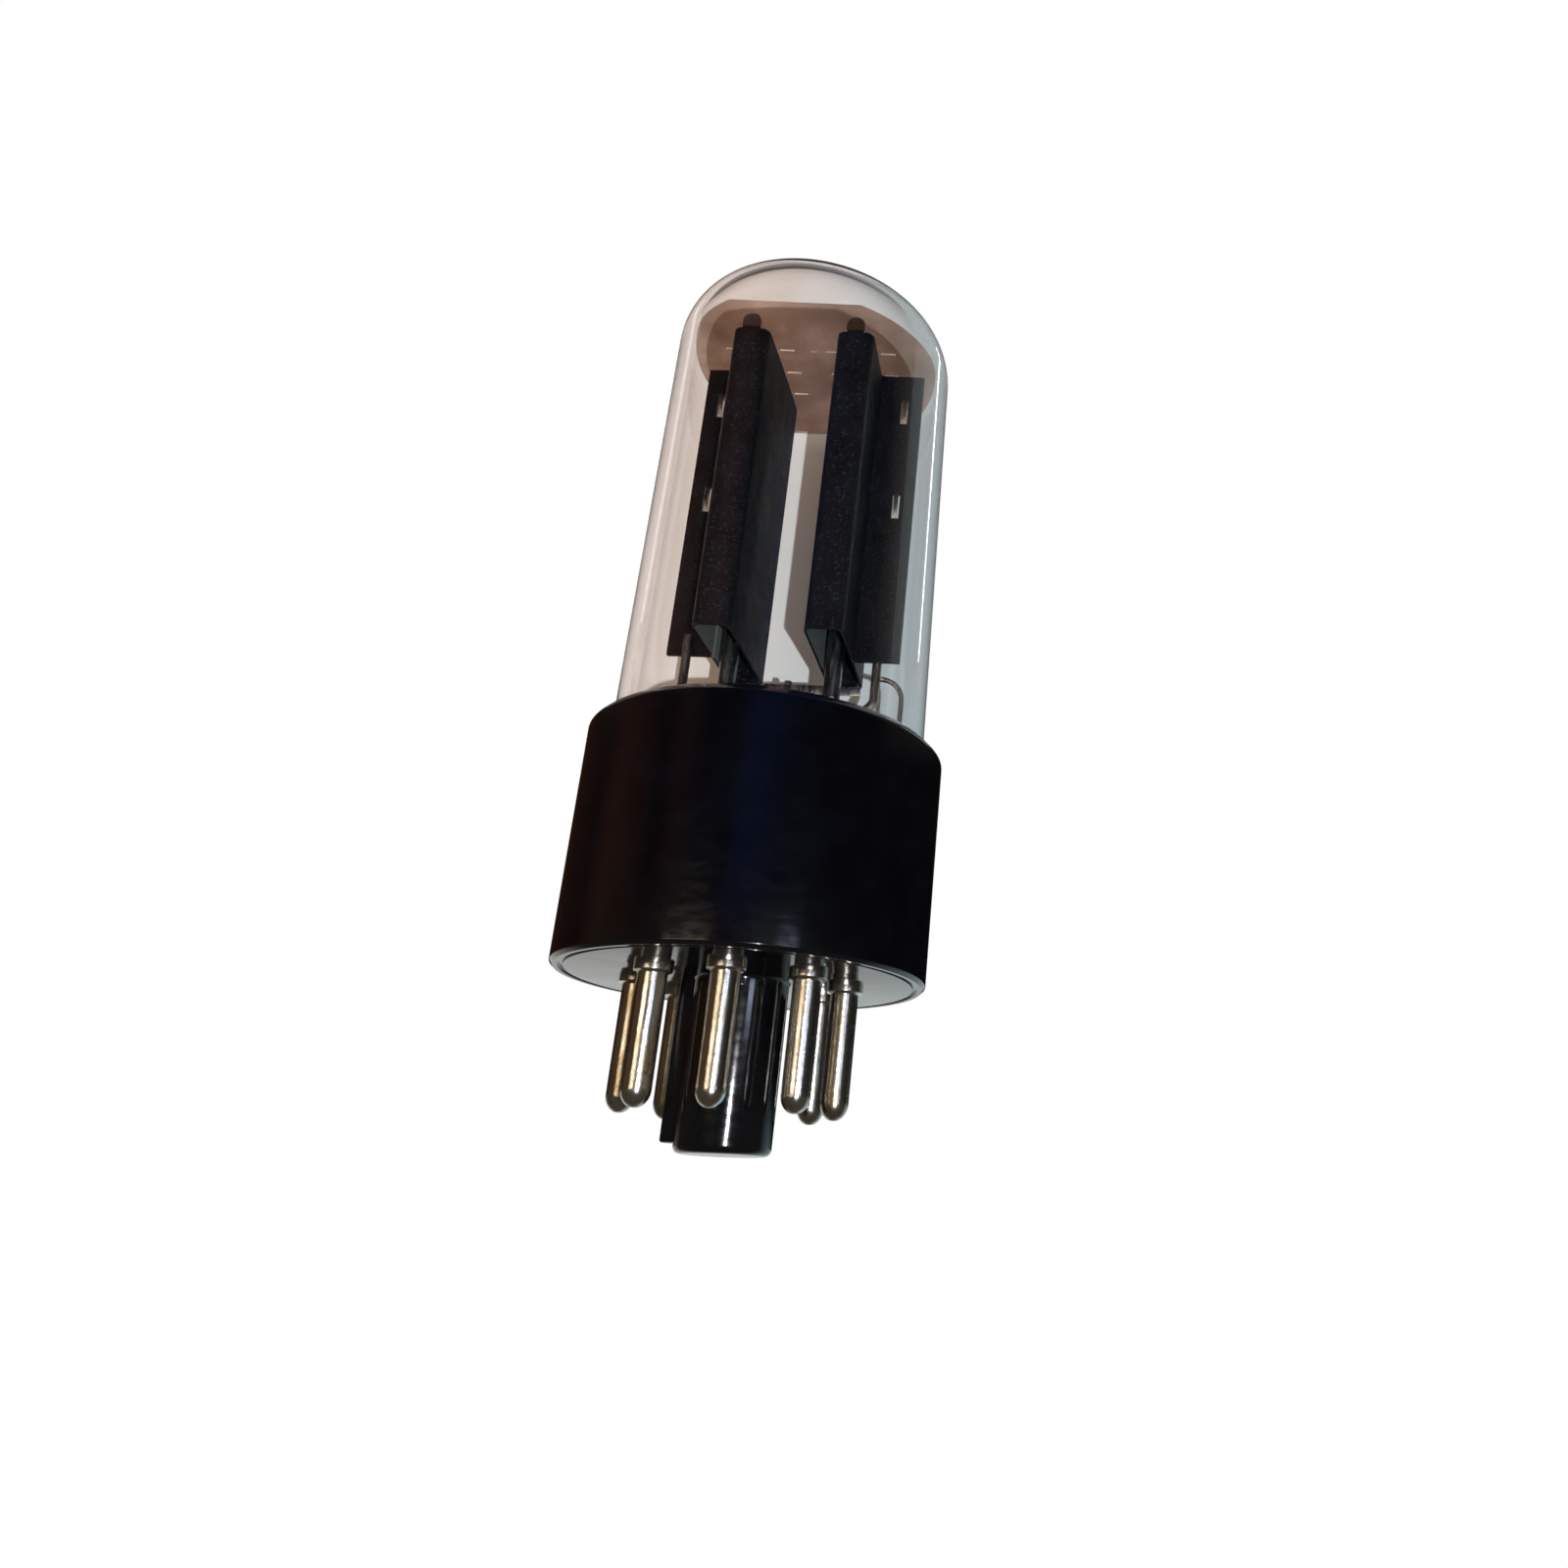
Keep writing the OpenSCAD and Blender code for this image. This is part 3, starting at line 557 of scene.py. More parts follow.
def carbonised_steel():
    """Nickel-plated steel sheet blackened with carbon on its outside: matt, sooty and finely grained,
    with paler specks where the coat is thin. The inside of the folded tubes stays a bare teal grey."""
    made, tree, place = empty_material("carbonised_steel")
    soot = node(tree, "TexNoise", {"Vector": place, "Scale": per(2.2), "Detail": 6, "Roughness": 0.65})
    black = node(tree, "ValToRGB", {0: soot.outputs[0]}, [(0.35, "#050608"), (0.7, "#0f1118")])
    grit = node(tree, "TexNoise", {"Vector": place, "Scale": per(0.25), "Detail": 3})
    specks = node(tree, "MapRange", {
        "Value": grit.outputs[0], "From Min": 0.56, "From Max": 0.72, "To Min": 0.0, "To Max": 0.5})
    speckled = node(tree, "Mix", {0: specks.outputs[0], 6: black.outputs[0], 7: colour("#3a3f4a")},
                    data_type="RGBA")
    # A face of a tube's side wall is on the inside where it looks towards the tube's own middle
    faces = node(tree, "SeparateXYZ", {0: node(tree, "NewGeometry").outputs["Normal"]}).outputs["X"]
    x = node(tree, "SeparateXYZ", {0: place}).outputs["X"]
    outwards = maths(tree, "MULTIPLY", faces, maths(tree, "SIGN", x))
    beside = maths(tree, "SUBTRACT", maths(tree, "ABSOLUTE", x), ANODE_X * MM)
    inside = maths(tree, "LESS_THAN", maths(tree, "MULTIPLY", outwards, beside), -0.5 * MM)
    shade = node(tree, "Mix", {0: inside, 6: speckled.outputs[2], 7: colour("#66716e")}, data_type="RGBA")
    rough = node(tree, "ValToRGB", {0: soot.outputs[0]}, [(0.3, 0.42), (0.75, 0.6)])
    grain = node(tree, "Bump", {"Strength": 0.35, "Distance": 0.02 * MM, "Height": grit.outputs[0]})
    show(tree, node(tree, "BsdfPrincipled", {
        "Base Color": shade.outputs[2], "Roughness": rough.outputs[0], "Specular IOR Level": 0.12,
        "Normal": grain.outputs[0]}))
    return made


def nickel(name, dark, light):
    """Drawn nickel with fine lines along it, between a dark and a light colour: warm and bright for the
    wires and ribbons, dark and cold for the sleeves, which have been hot."""
    made, tree, place = empty_material(name)
    long = node(tree, "Mapping", {"Vector": place, "Scale": (1, 1, 0.12)})
    lines = node(tree, "TexNoise", {"Vector": long.outputs[0], "Scale": per(0.35), "Detail": 4})
    shade = node(tree, "ValToRGB", {0: lines.outputs[0]}, [(0.3, dark), (0.7, light)])
    gloss = node(tree, "ValToRGB", {0: lines.outputs[0]}, [(0.3, 0.24), (0.7, 0.34)])
    drawn = node(tree, "Bump", {"Strength": 0.3, "Distance": 0.01 * MM, "Height": lines.outputs[0]})
    show(tree, node(tree, "BsdfPrincipled", {
        "Base Color": shade.outputs[0], "Metallic": 1, "Roughness": gloss.outputs[0],
        "Normal": drawn.outputs[0]}))
    return made


def mica():
    """Split mica: thin, brownish and half clear, with flat patches where its leaves part."""
    made, tree, place = empty_material("mica")
    leaves = node(tree, "TexNoise", {"Vector": place, "Scale": per(5), "Detail": 5})
    shade = node(tree, "ValToRGB", {0: leaves.outputs[0]},
                 [(0.3, "#8b7263"), (0.5, "#9a8173"), (0.7, "#a89184")])
    flakes = node(tree, "TexNoise", {"Vector": place, "Scale": per(0.8), "Detail": 4})
    skin = node(tree, "Bump", {"Strength": 0.2, "Distance": 0.02 * MM, "Height": flakes.outputs[0]})
    sheet = node(tree, "BsdfPrincipled", {
        "Base Color": shade.outputs[0], "Roughness": 0.28, "IOR": 1.58, "Normal": skin.outputs[0]})
    lit = node(tree, "BsdfTranslucent", {"Color": shade.outputs[0]})
    leaf = node(tree, "MixShader", {0: 0.35, 1: sheet.outputs[0], 2: lit.outputs[0]})
    tint = node(tree, "ValToRGB", {0: leaves.outputs[0]},
                [(0.3, "#cdbeb6"), (0.5, "#dccdc4"), (0.7, "#ecdfd9")])
    clear = node(tree, "BsdfTransparent", {"Color": tint.outputs[0]})
    # Clearer towards the back and browner at the front: a painted reflection of the brown light in front,
    # laid over the mica's own half-clear sheet
    way = node(tree, "SeparateXYZ", {0: place})
    clear_towards_back = node(tree, "MapRange", {
        "Value": way.outputs["Y"], "From Min": -10 * MM, "From Max": 10 * MM, "To Min": 0.86, "To Max": 0.94})
    show(tree, node(tree, "MixShader", {0: clear_towards_back.outputs[0], 1: leaf.outputs[0], 2: clear.outputs[0]}))
    return made


def alumina():
    """White alumina baked on the heater wire: chalky and matt."""
    made, tree, place = empty_material("alumina_coating")
    powder = node(tree, "TexNoise", {"Vector": place, "Scale": per(0.2), "Detail": 3})
    shade = node(tree, "ValToRGB", {0: powder.outputs[0]}, [(0.3, "#cfccc4"), (0.7, "#efece6")])
    grain = node(tree, "Bump", {"Strength": 0.5, "Distance": 0.02 * MM, "Height": powder.outputs[0]})
    show(tree, node(tree, "BsdfPrincipled", {
        "Base Color": shade.outputs[0], "Roughness": 0.85, "Normal": grain.outputs[0]}))
    return made


def basing_cement():
    """Shellac basing cement filled with marble flour: brown, hard and slightly resinous."""
    made, tree, place = empty_material("basing_cement")
    filler = node(tree, "TexNoise", {"Vector": place, "Scale": per(0.9), "Detail": 6})
    shade = node(tree, "ValToRGB", {0: filler.outputs[0]}, [(0.3, "#4d3a2a"), (0.7, "#80664c")])
    lumps = node(tree, "Bump", {"Strength": 0.6, "Distance": 0.1 * MM, "Height": filler.outputs[0]})
    show(tree, node(tree, "BsdfPrincipled", {
        "Base Color": shade.outputs[0], "Roughness": 0.55, "Normal": lumps.outputs[0]}))
    return made


# Pieces
def dome(r, end_r, z, h, steps=8):
    """Points on a quarter of an ellipse that hangs below height z, from its side to its end."""
    reach = math.acos(end_r / r)
    angles = [reach * k / steps for k in range(steps + 1)]
    return [(r * math.cos(a), z - h * math.sin(a) / math.sin(reach)) for a in angles]


def moulded_base():
    """Cup, floor, spigot and key in one moulding, with a hole for each pin and a groove underneath."""
    r, h = base_high.x, base_high.z
    cup_r = r - CUP_WALL
    groove_out = r - GROOVE_INSET + GROOVE_W
    groove_in = r - GROOVE_INSET
    end = base_low.z
    outline = rounded([
        (0, end + SPIGOT_END_T), (SPIGOT_BORE_R, end + SPIGOT_END_T), (SPIGOT_BORE_R, FLOOR_T),
        (cup_r, FLOOR_T, CUP_FLOOR_ROUND), (cup_r, h, CUP_LIP_ROUND),
        (r - RIM_BEVEL, h, RIM_ROUNDS[0]), (r, h - RIM_BEVEL, RIM_ROUNDS[1]),
        (r, HEEL_BEVEL, HEEL_ROUNDS[0]), (r - HEEL_BEVEL, 0, HEEL_ROUNDS[1]),
        (groove_out, 0, GROOVE_LIP_ROUND), (groove_out, GROOVE_DEPTH, GROOVE_FLOOR_ROUND),
        (groove_in, GROOVE_DEPTH, GROOVE_FLOOR_ROUND), (groove_in, 0, GROOVE_LIP_ROUND),
        (SPIGOT_R, 0, SPIGOT_ROOT_ROUND), (SPIGOT_R, end, SPIGOT_ROUND), (0, end)])
    base = turned("moulded_base", outline, sides=144)
    key = block("key", ((SPIGOT_BORE_R + SPIGOT_R) / 2, -KEY_W / 2, end + KEY_END),
                (KEY_REACH, KEY_W / 2, FLOOR_T / 2), KEY_ANGLE)
    modify(key, "BEVEL", width=KEY_ROUND * MM, segments=3)
    carve(base, key, "UNION")
    holes = []
    for x, y in pin_centres:
        bpy.ops.mesh.primitive_cylinder_add(
            vertices=48, radius=PIN_R * MM, depth=3 * FLOOR_T * MM,
            location=(x * MM, y * MM, (FLOOR_T / 2 + SEAT) * MM))
        holes.append(named("hole"))
    carve(base, joined("holes", holes))
    return settle(base)


def contact_pin(i):
    """A drawn tube with a holed dome at its tip, a collar under the floor and a head above it."""
    tip = pin_low.z
    collar_r = (pin_high.x - pin_low.x) / 2
    bore_r = PIN_R - PIN_WALL
    outside = list(reversed(dome(PIN_R, PIN_HOLE_R, tip + PIN_DOME, PIN_DOME)))
    inside = dome(bore_r, PIN_HOLE_R, tip + PIN_DOME, PIN_DOME - PIN_WALL)
    shank = rounded([
        outside[-1], (PIN_R, -PIN_COLLAR_H, PIN_ROUND),
        (collar_r, -PIN_COLLAR_H + PIN_COLLAR_SLOPE, PIN_COLLAR_SLOPE), (collar_r, 0),
        (PIN_R, 0), (PIN_R, FLOOR_T), (collar_r, FLOOR_T), (collar_r, FLOOR_T + PIN_HEAD_H, PIN_ROUND),
        (bore_r, FLOOR_T + PIN_HEAD_H), inside[0]])
    outline = outside[:-1] + [tuple(p) for p in shank] + inside[1:] + [outside[0]]
    return turned(f"contact_pin_{i + 1}", outline, sides=40, at=pin_centres[i])


def solder_tip(i):
    """The solder that fills a pin's dome, with a nub through the hole."""
    tip = pin_low.z
    bore_r = PIN_R - PIN_WALL
    inside = dome(bore_r, PIN_HOLE_R, tip + PIN_DOME, PIN_DOME - PIN_WALL)
    nub = list(reversed(dome(SOLDER_NUB_R, 0, tip + SOLDER_NUB_TOP, SOLDER_NUB_H, 6)))
    outline = nub + [(PIN_HOLE_R, tip + SOLDER_SEAT)] + list(reversed(inside)) + [(0, inside[0][1])]
    return turned("solder_tip", outline, sides=24, at=pin_centres[i])


def blown_bulb():
    """The bulb's outside, as a neck, a slightly tapered side, a shoulder and a flatter crown whose arcs
    meet without a kink, with its wall made inwards."""
    side_r = bulb_high.x
    top_r = side_r - BULB_TAPER
    neck_r = side_r - NECK_INSET
    crown_h = bulb_high.z - mica_low.z
    flat = top_r - SHOULDER_R
    crown_r = (crown_h ** 2 - SHOULDER_R ** 2 + flat ** 2) / (2 * (crown_h - SHOULDER_R))
    meet = math.acos(flat / (crown_r - SHOULDER_R))
    shoulder = [(flat + SHOULDER_R * math.cos(a), mica_low.z + SHOULDER_R * math.sin(a))
                for a in (meet * k / 14 for k in range(15))]
    centre = bulb_high.z - crown_r
    crown = [(crown_r * math.cos(a), centre + crown_r * math.sin(a))
             for a in (meet + (math.pi / 2 - meet) * k / 16 for k in range(1, 16))]
    side = rounded([
        (neck_r, bulb_low.z), (neck_r, bulb_low.z + NECK_STRAIGHT, NECK_ROUND),
        (side_r, NECK_TOP, SIDE_ROUND), (side_r, base_high.z + BULB_TAPER_START), (top_r, mica_low.z)])
    bulb = turned("blown_bulb", side[:-1] + shoulder + crown + [(0, bulb_high.z)], sides=144)
    modify(bulb, "SOLIDIFY", thickness=BULB_WALL * MM, offset=-1, use_even_offset=True)
    return settle(bulb)


def flared_stem():
    """The stem tube with its flared foot, pressed flat into an oval pinch at its top."""
    rim_r = stem_high.x
    inner_r = STEM_R - STEM_WALL
    top = stem_high.z
    flare = rounded([(rim_r, stem_low.z), (rim_r - FLARE_LIP, bulb_low.z, FLARE_LIP_ROUND),
                     (STEM_R, bulb_low.z + 0.2, FLARE_ROUND), (STEM_R, PINCH_BOTTOM)], 10)
    inside = rounded([(inner_r, PINCH_BOTTOM - 1), (inner_r, stem_low.z + 0.6, FLARE_INNER_ROUND),
                      (rim_r, stem_low.z)], 10)
    shoulder = [(rx, PINCH_BOTTOM + up, ry) for rx, up, ry in PINCH_SHOULDER]
    edge = [(PINCH_RX - in_x, top - down, PINCH_RY - in_y) for in_x, down, in_y in PINCH_EDGE]
    hollow_top = [(0, PINCH_BOTTOM - 0.2), (inner_r * 0.6, PINCH_BOTTOM - 0.4)]
    tube = [tuple(p) for p in inside[:-1] + flare[:-1]]
    outline = hollow_top + tube + shoulder + edge + [(0, top)]
    return turned("flared_stem", outline, sides=72)


def anode(name, side):
    """One folded sheet: a flat tube, its seam folded outwards as a flange, and an ear at each end."""
    out = ANODE_X + (ANODE_W - SHEET_T) / 2
    inner = ANODE_X - (ANODE_W - SHEET_T) / 2
    end = (ANODE_LEN - SHEET_T) / 2
    bend = ANODE_CORNER - SHEET_T / 2
    seam = SHEET_T / 2
    section = rounded([
        (anode_high.x, -seam), (out, -seam, SEAM_FOLD_R), (out, -end, bend), (inner, -end, bend),
        (inner, end, bend), (out, end, bend), (out, seam, SEAM_FOLD_R), (anode_high.x, seam)])
    sheet = path(name, [(side * p.x, p.y, anode_low.z) for p in section])
    bpy.ops.mesh.select_all(action="SELECT")
    tall = {"value": (0, 0, (mica_low.z - anode_low.z) * MM)}
    bpy.ops.mesh.extrude_region_move(TRANSFORM_OT_translate=tall)
    ear_r = ANODE_W / 2 - ANODE_CORNER
    ear_top = mica_high.z + EAR_H
    for y in (-end, end):
        pick(sheet, "EDGE", lambda p: abs(p.z - mica_low.z) < 0.01 and abs(p.y - y) < 0.001
             and abs(abs(p.x) - ANODE_X) < 0.01)
        lift = {"value": (0, 0, (ear_top - ear_r - mica_low.z) * MM)}
        bpy.ops.mesh.extrude_region_move(TRANSFORM_OT_translate=lift)
        angles = [math.pi / 2 * k / ROUND_STEPS for k in range(ROUND_STEPS)]
        for a, b in zip(angles, angles[1:]):
            lift = {"value": (0, 0, ear_r * (math.sin(b) - math.sin(a)) * MM)}
            bpy.ops.mesh.extrude_region_move(TRANSFORM_OT_translate=lift)
            bpy.ops.transform.resize(value=(math.cos(b) / math.cos(a), 1, 1),
                                     center_override=(side * ANODE_X * MM, y * MM, 0))
    close_up()
    bpy.ops.object.mode_set(mode="OBJECT")
    modify(sheet, "SOLIDIFY", thickness=(SHEET_T - SEAM_GAP) * MM, offset=0, use_even_offset=True)
    windows = []
    for drop in WINDOW_DROPS:
        x = side * (anode_high.x - WINDOW_INSET)
        z = mica_low.z - drop
        windows.append(block("window", (x - WINDOW_W / 2, -CUTTER_REACH, z - WINDOW_H / 2),
                             (x + WINDOW_W / 2, CUTTER_REACH, z + WINDOW_H / 2)))
    carve(sheet, joined("windows", windows))
    return settle(sheet)


def window_tabs(name, side):
    """The narrow tongues in a flange's two windows, clinched forward out of the sheet."""
    tabs = []
    reach = WINDOW_H / 2 + TAB_OVERLAP
    for drop in WINDOW_DROPS:
        x = side * (anode_high.x - WINDOW_INSET) - TAB_W / 2
        z = mica_low.z - drop
        steps = [-1 + 2 * k / TAB_STEPS for k in range(TAB_STEPS + 1)]
        tab = path("tab", [(x, -TAB_BULGE * (1 - t * t), z + t * reach) for t in steps])
        bpy.ops.mesh.select_all(action="SELECT")
        bpy.ops.mesh.extrude_region_move(TRANSFORM_OT_translate={"value": (TAB_W * MM, 0, 0)})
        close_up()
        bpy.ops.object.mode_set(mode="OBJECT")
        modify(tab, "SOLIDIFY", thickness=TAB_T * MM, offset=0)
        tabs.append(settle(tab))
    return joined(name, tabs)


def mica_sheet():
    """A disc with two flats, at its front and its back."""
    bpy.ops.mesh.primitive_cylinder_add(
        vertices=144, radius=mica_high.x * MM, depth=(mica_high.z - mica_low.z) * MM,
        location=(0, 0, ((mica_low.z + mica_high.z) / 2 + SEAT) * MM))
    sheet = settle(named("mica_sheet"))
    low, high = mica_low.z - CUTTER_REACH, mica_high.z + CUTTER_REACH
    between = block("between_flats", (-2 * mica_high.x, mica_low.y, low),
                    (2 * mica_high.x, mica_high.y, high))
    carve(sheet, between, "INTERSECT")
    holes = []
    for x in (-ANODE_X, ANODE_X):
        for y in (-1, 1):
            ear_y = y * (ANODE_LEN - SHEET_T) / 2
            ear_r = ANODE_W / 2 - ANODE_CORNER + EAR_HOLE_PLAY
            holes.append(block("ear_hole", (x - ear_r, ear_y - EAR_HOLE_T / 2, low),
                               (x + ear_r, ear_y + EAR_HOLE_T / 2, high)))
        for s in (-1, 1):
            slit_x = x + s * (ANODE_W / 2 + SLIT_GAP + SLIT_LEN / 2)
            for y in (-SLIT_PITCH, 0, SLIT_PITCH):
                holes.append(block("slit", (slit_x - SLIT_LEN / 2, y - SLIT_W / 2, low),
                                   (slit_x + SLIT_LEN / 2, y + SLIT_W / 2, high)))
        bpy.ops.mesh.primitive_cylinder_add(
            vertices=32, radius=SLEEVE_R * MM, depth=(high - low) * MM,
            location=(x * MM, 0, ((low + high) / 2 + SEAT) * MM))
        holes.append(named("sleeve_hole"))
    carve(sheet, joined("holes", holes))
    modify(sheet, "BEVEL", width=MICA_EDGE * MM, segments=2, limit_method="ANGLE")
    return settle(sheet)


def upright_curve(start, end, pull, steps=24):
    """Points on a cubic curve that leaves start downwards and reaches end from above."""
    start, end = Vector(start), Vector(end)
    leave, arrive = start - Vector((0, 0, pull)), end + Vector((0, 0, pull))
    points = []
    for k in range(steps + 1):
        t = k / steps
        s = 1 - t
        points.append(s ** 3 * start + 3 * s * s * t * leave + 3 * s * t * t * arrive + t ** 3 * end)
    return points


def anode_rod(name, side):
    """The left rod is the right one turned by half a turn, so it lies on the front of its flange."""
    pinch_top = stem_high.z
    bend = upright_curve((side * ROD_X, side * ROD_Y, pinch_top + ROD_BEND_RISE),
                         (side * ANODE_SEAL_X, 0, pinch_top + SEAL_RISE), SEAL_PULL)
    top = (side * ROD_X, side * ROD_Y, anode_low.z + ROD_OVERLAP)
    foot = (side * ANODE_SEAL_X, 0, (PINCH_BOTTOM + pinch_top) / 2)
    return wire(name, [top] + bend + [foot], ROD_R)


def lead(name, top_path, seal, rise, pull, pin):
    """A lead: down through the pinch and the stem, and out into its pin."""
    x, y = pin_centres[pin - 1]
    run = upright_curve((seal[0], seal[1], bulb_low.z + rise), (x, y, FLOOR_T + PIN_HEAD_H), pull)
    return wire(name, top_path + run + [(x, y, pin_low.z + LEAD_END)], LEAD_R)


def heater(name, side):
    """A coated hairpin that stands in its sleeve."""
    x = side * ANODE_X
    leg = HEATER_PITCH / 2
    top = heater_high.z - leg - HEATER_R
    bend = [(x, leg * math.cos(a), top + leg * math.sin(a)) for a in (math.pi * k / 12 for k in range(13))]
    return wire(name, [(x, leg, heater_low.z)] + bend + [(x, -leg, heater_low.z)], HEATER_R)


def cathode_sleeve(name, side):
    """A thin open tube in the middle of its anode."""
    r, low, high = SLEEVE_R, sleeve_low.z, sleeve_high.z
    outline = [(r - SLEEVE_WALL, low), (r, low), (r, high), (r - SLEEVE_WALL, high), (r - SLEEVE_WALL, low)]
    return turned(name, outline, sides=40, at=(side * ANODE_X, 0))


def getter_wire():
    """The bent wire from the right rod down to the getter's cup."""
    low, high = box_mm("getter_wire")
    start_x = ROD_X + ROD_R
    reach = high.x - GETTER_WIRE_R
    top = anode_low.z - GETTER_DROP
    r = reach - start_x
    angles = [math.pi / 2 * k / 16 for k in range(17)]
    arc = [(start_x + r * math.sin(a), ROD_Y, top - r + r * math.cos(a)) for a in angles]
    return wire("getter_stalk", arc + [(reach, ROD_Y, low.z)], GETTER_WIRE_R)


# Building
pin_centres = []
for i in range(1, PIN_COUNT + 1):
    low, high = box_mm(f"pin_{i}")
    pin_centres.append(((low.x + high.x) / 2, (low.y + high.y) / 2))

black = phenolic()
plated = plated_brass()
tin = solder_metal()
bulb_glass = glass("bulb_glass", "#fefefd", 9)
stem_glass = glass("stem_glass", "#fbfdfb", 4)
carbon = carbonised_steel()
wires = nickel("drawn_nickel", "#857b73", "#b5afa6")
sleeve_metal = nickel("oxidised_nickel", "#50565a", "#8b9193")
brown_mica = mica()
white_coat = alumina()
cement = basing_cement()

dress(moulded_base(), black, "phenolic", "base_shell")
for i in range(PIN_COUNT):
    dress(contact_pin(i), plated, "nickelled_brass", f"pin_{i + 1}")
dress(joined("solder_tips", [solder_tip(i) for i in range(PIN_COUNT)]), tin, "solder", "pin_solder")
dress(blown_bulb(), bulb_glass, "bulb_glass", "glass_bulb")
dress(flared_stem(), stem_glass, "stem_glass", "glass_stem")
dress(mica_sheet(), brown_mica, "mica", "mica_disc")
for hand, side in (("left", -1), ("right", 1)):
    dress(anode(f"anode_sheet_{hand}", side), carbon, "carbonised_steel", f"anode_{hand}")
    dress(window_tabs(f"window_tabs_{hand}", side), wires, "nickel")
    dress(anode_rod(f"anode_post_{hand}", side), wires, "nickel", f"anode_rod_{hand}")
    dress(cathode_sleeve(f"cathode_sleeve_{hand}", side), sleeve_metal, "nickel", f"cathode_{hand}")
    dress(heater(f"heater_wire_{hand}", side), white_coat, "heater_coating", f"heater_{hand}")
dress(ribbon("cathode_strap", ribbon_low, ribbon_high), wires, "nickel", "cathode_ribbon")
dress(ribbon("heater_strap", bridge_low, bridge_high), wires, "nickel", "heater_bridge")
for hand in ("left", "right"):
    tab = ribbon(f"heater_tab_{hand}", *box_mm(f"heater_link_{hand}"))
    dress(tab, wires, "nickel", f"heater_link_{hand}")
dress(getter_wire(), wires, "nickel", "getter_wire")

link_front = link_low.y - LEAD_R
pinch_middle = (PINCH_BOTTOM + stem_high.z) / 2
cathode_y = ribbon_high.y + LEAD_R
cathode_bend = upright_curve((CATHODE_SEAL.x, cathode_y, ribbon_low.z - LEAD_LAP),
                             (CATHODE_SEAL.x, CATHODE_SEAL.y, stem_high.z + SEAL_RISE), SEAL_PULL)
# For each lead: its points above its seal, its seal in the pinch, the height over the bulb's foot where it
# turns to its pin, how wide it turns, and the number of its pin
leads = {
    "anode_left": ([(-ANODE_SEAL_X, 0, pinch_middle)], (-ANODE_SEAL_X, 0), 1.5, 1.6, 3),
    "anode_right": ([(ANODE_SEAL_X, 0, pinch_middle)], (ANODE_SEAL_X, 0), 1.5, 1.6, 5),
    "heater_left": ([(-HEATER_SEAL_X, link_front, link_high.z)], (-HEATER_SEAL_X, link_front), 4.5, 2.2, 2),
    "heater_right": ([(HEATER_SEAL_X, link_front, link_high.z)], (HEATER_SEAL_X, link_front), 3, 2.2, 7),
    "cathode": ([(CATHODE_SEAL.x, cathode_y, ribbon_high.z + LEAD_LAP)] + cathode_bend,
                (CATHODE_SEAL.x, CATHODE_SEAL.y), 3, 2.2, 8),
}
for name, route in leads.items():
    dress(lead(f"wire_{name}", *route), wires, "nickel", f"lead_{name}")

# Nodes of the frame that need no other shape
for name, finish, slot in (("base_cement", cement, "cement"), ("exhaust_tube", stem_glass, "stem_glass"),
                           ("getter_cup", wires, "nickel")):
    frame["nodes"][name].data.materials.clear()
    frame["nodes"][name].data.materials.append(finish)


# Stage
def pale_floor():
    """A plain floor that shows only from above, because the photograph looks up past it."""
    bpy.ops.mesh.primitive_plane_add(size=FLOOR_SIZE, location=(0, 0, -FLOOR_GAP * MM))
    floor = named("floor")
    made, tree, place = empty_material("pale_floor")
    paper = node(tree, "TexNoise", {"Vector": place, "Scale": per(1.5), "Detail": 3})
    shade = node(tree, "ValToRGB", {0: paper.outputs[0]}, [(0.3, "#ecebe8"), (0.7, "#f1f0ee")])
    matt = node(tree, "BsdfPrincipled", {"Base Color": shade.outputs[0], "Roughness": 0.7})
    white = node(tree, "Emission", {"Color": shade.outputs[0], "Strength": 1})
    ray = node(tree, "LightPath")
    seen = maths(tree, "MAXIMUM", ray.outputs["Is Camera Ray"], ray.outputs["Is Transmission Ray"])
    share = maths(tree, "MULTIPLY", seen, FLOOR_GLOW)
    pale = node(tree, "MixShader", {0: share, 1: matt.outputs[0], 2: white.outputs[0]})
    through = node(tree, "BsdfTransparent")
    side = node(tree, "NewGeometry")
    show(tree, node(tree, "MixShader", {
        0: side.outputs["Backfacing"], 1: pale.outputs[0], 2: through.outputs[0]}))
    floor.data.materials.append(made)
    floor.visible_shadow = False
    floor.visible_glossy = False


def paper_backdrop():
    """The sheet of paper close behind the bulb, which shows through the glass with the cage's shadows
    on it: pinkish on the left and bluish on the right. Only glass shows it."""
    low, high = PAPER_HEIGHTS
    bpy.ops.mesh.primitive_plane_add(size=1, location=(0, PAPER_Y * MM, ((low + high) / 2 + SEAT) * MM),
                                     rotation=(math.radians(90), 0, 0))
    sheet = named("backdrop")
    sheet.scale = (PAPER_W * MM, (high - low) * MM, 1)
    settle(sheet)
    made, tree, place = empty_material("backdrop_paper")
    way = node(tree, "SeparateXYZ", {0: place})
    across = node(tree, "MapRange", {
        "Value": way.outputs["X"], "From Min": -PAPER_W / 2 * MM, "From Max": PAPER_W / 2 * MM})
    shade = node(tree, "ValToRGB", {0: across.outputs[0]}, PAPER_TINTS)
    show(tree, node(tree, "BsdfDiffuse", {"Color": shade.outputs[0], "Roughness": 0}))
    sheet.data.materials.append(made)
    sheet.visible_camera = False
    sheet.visible_shadow = False
    sheet.visible_diffuse = False
    sheet.visible_glossy = False


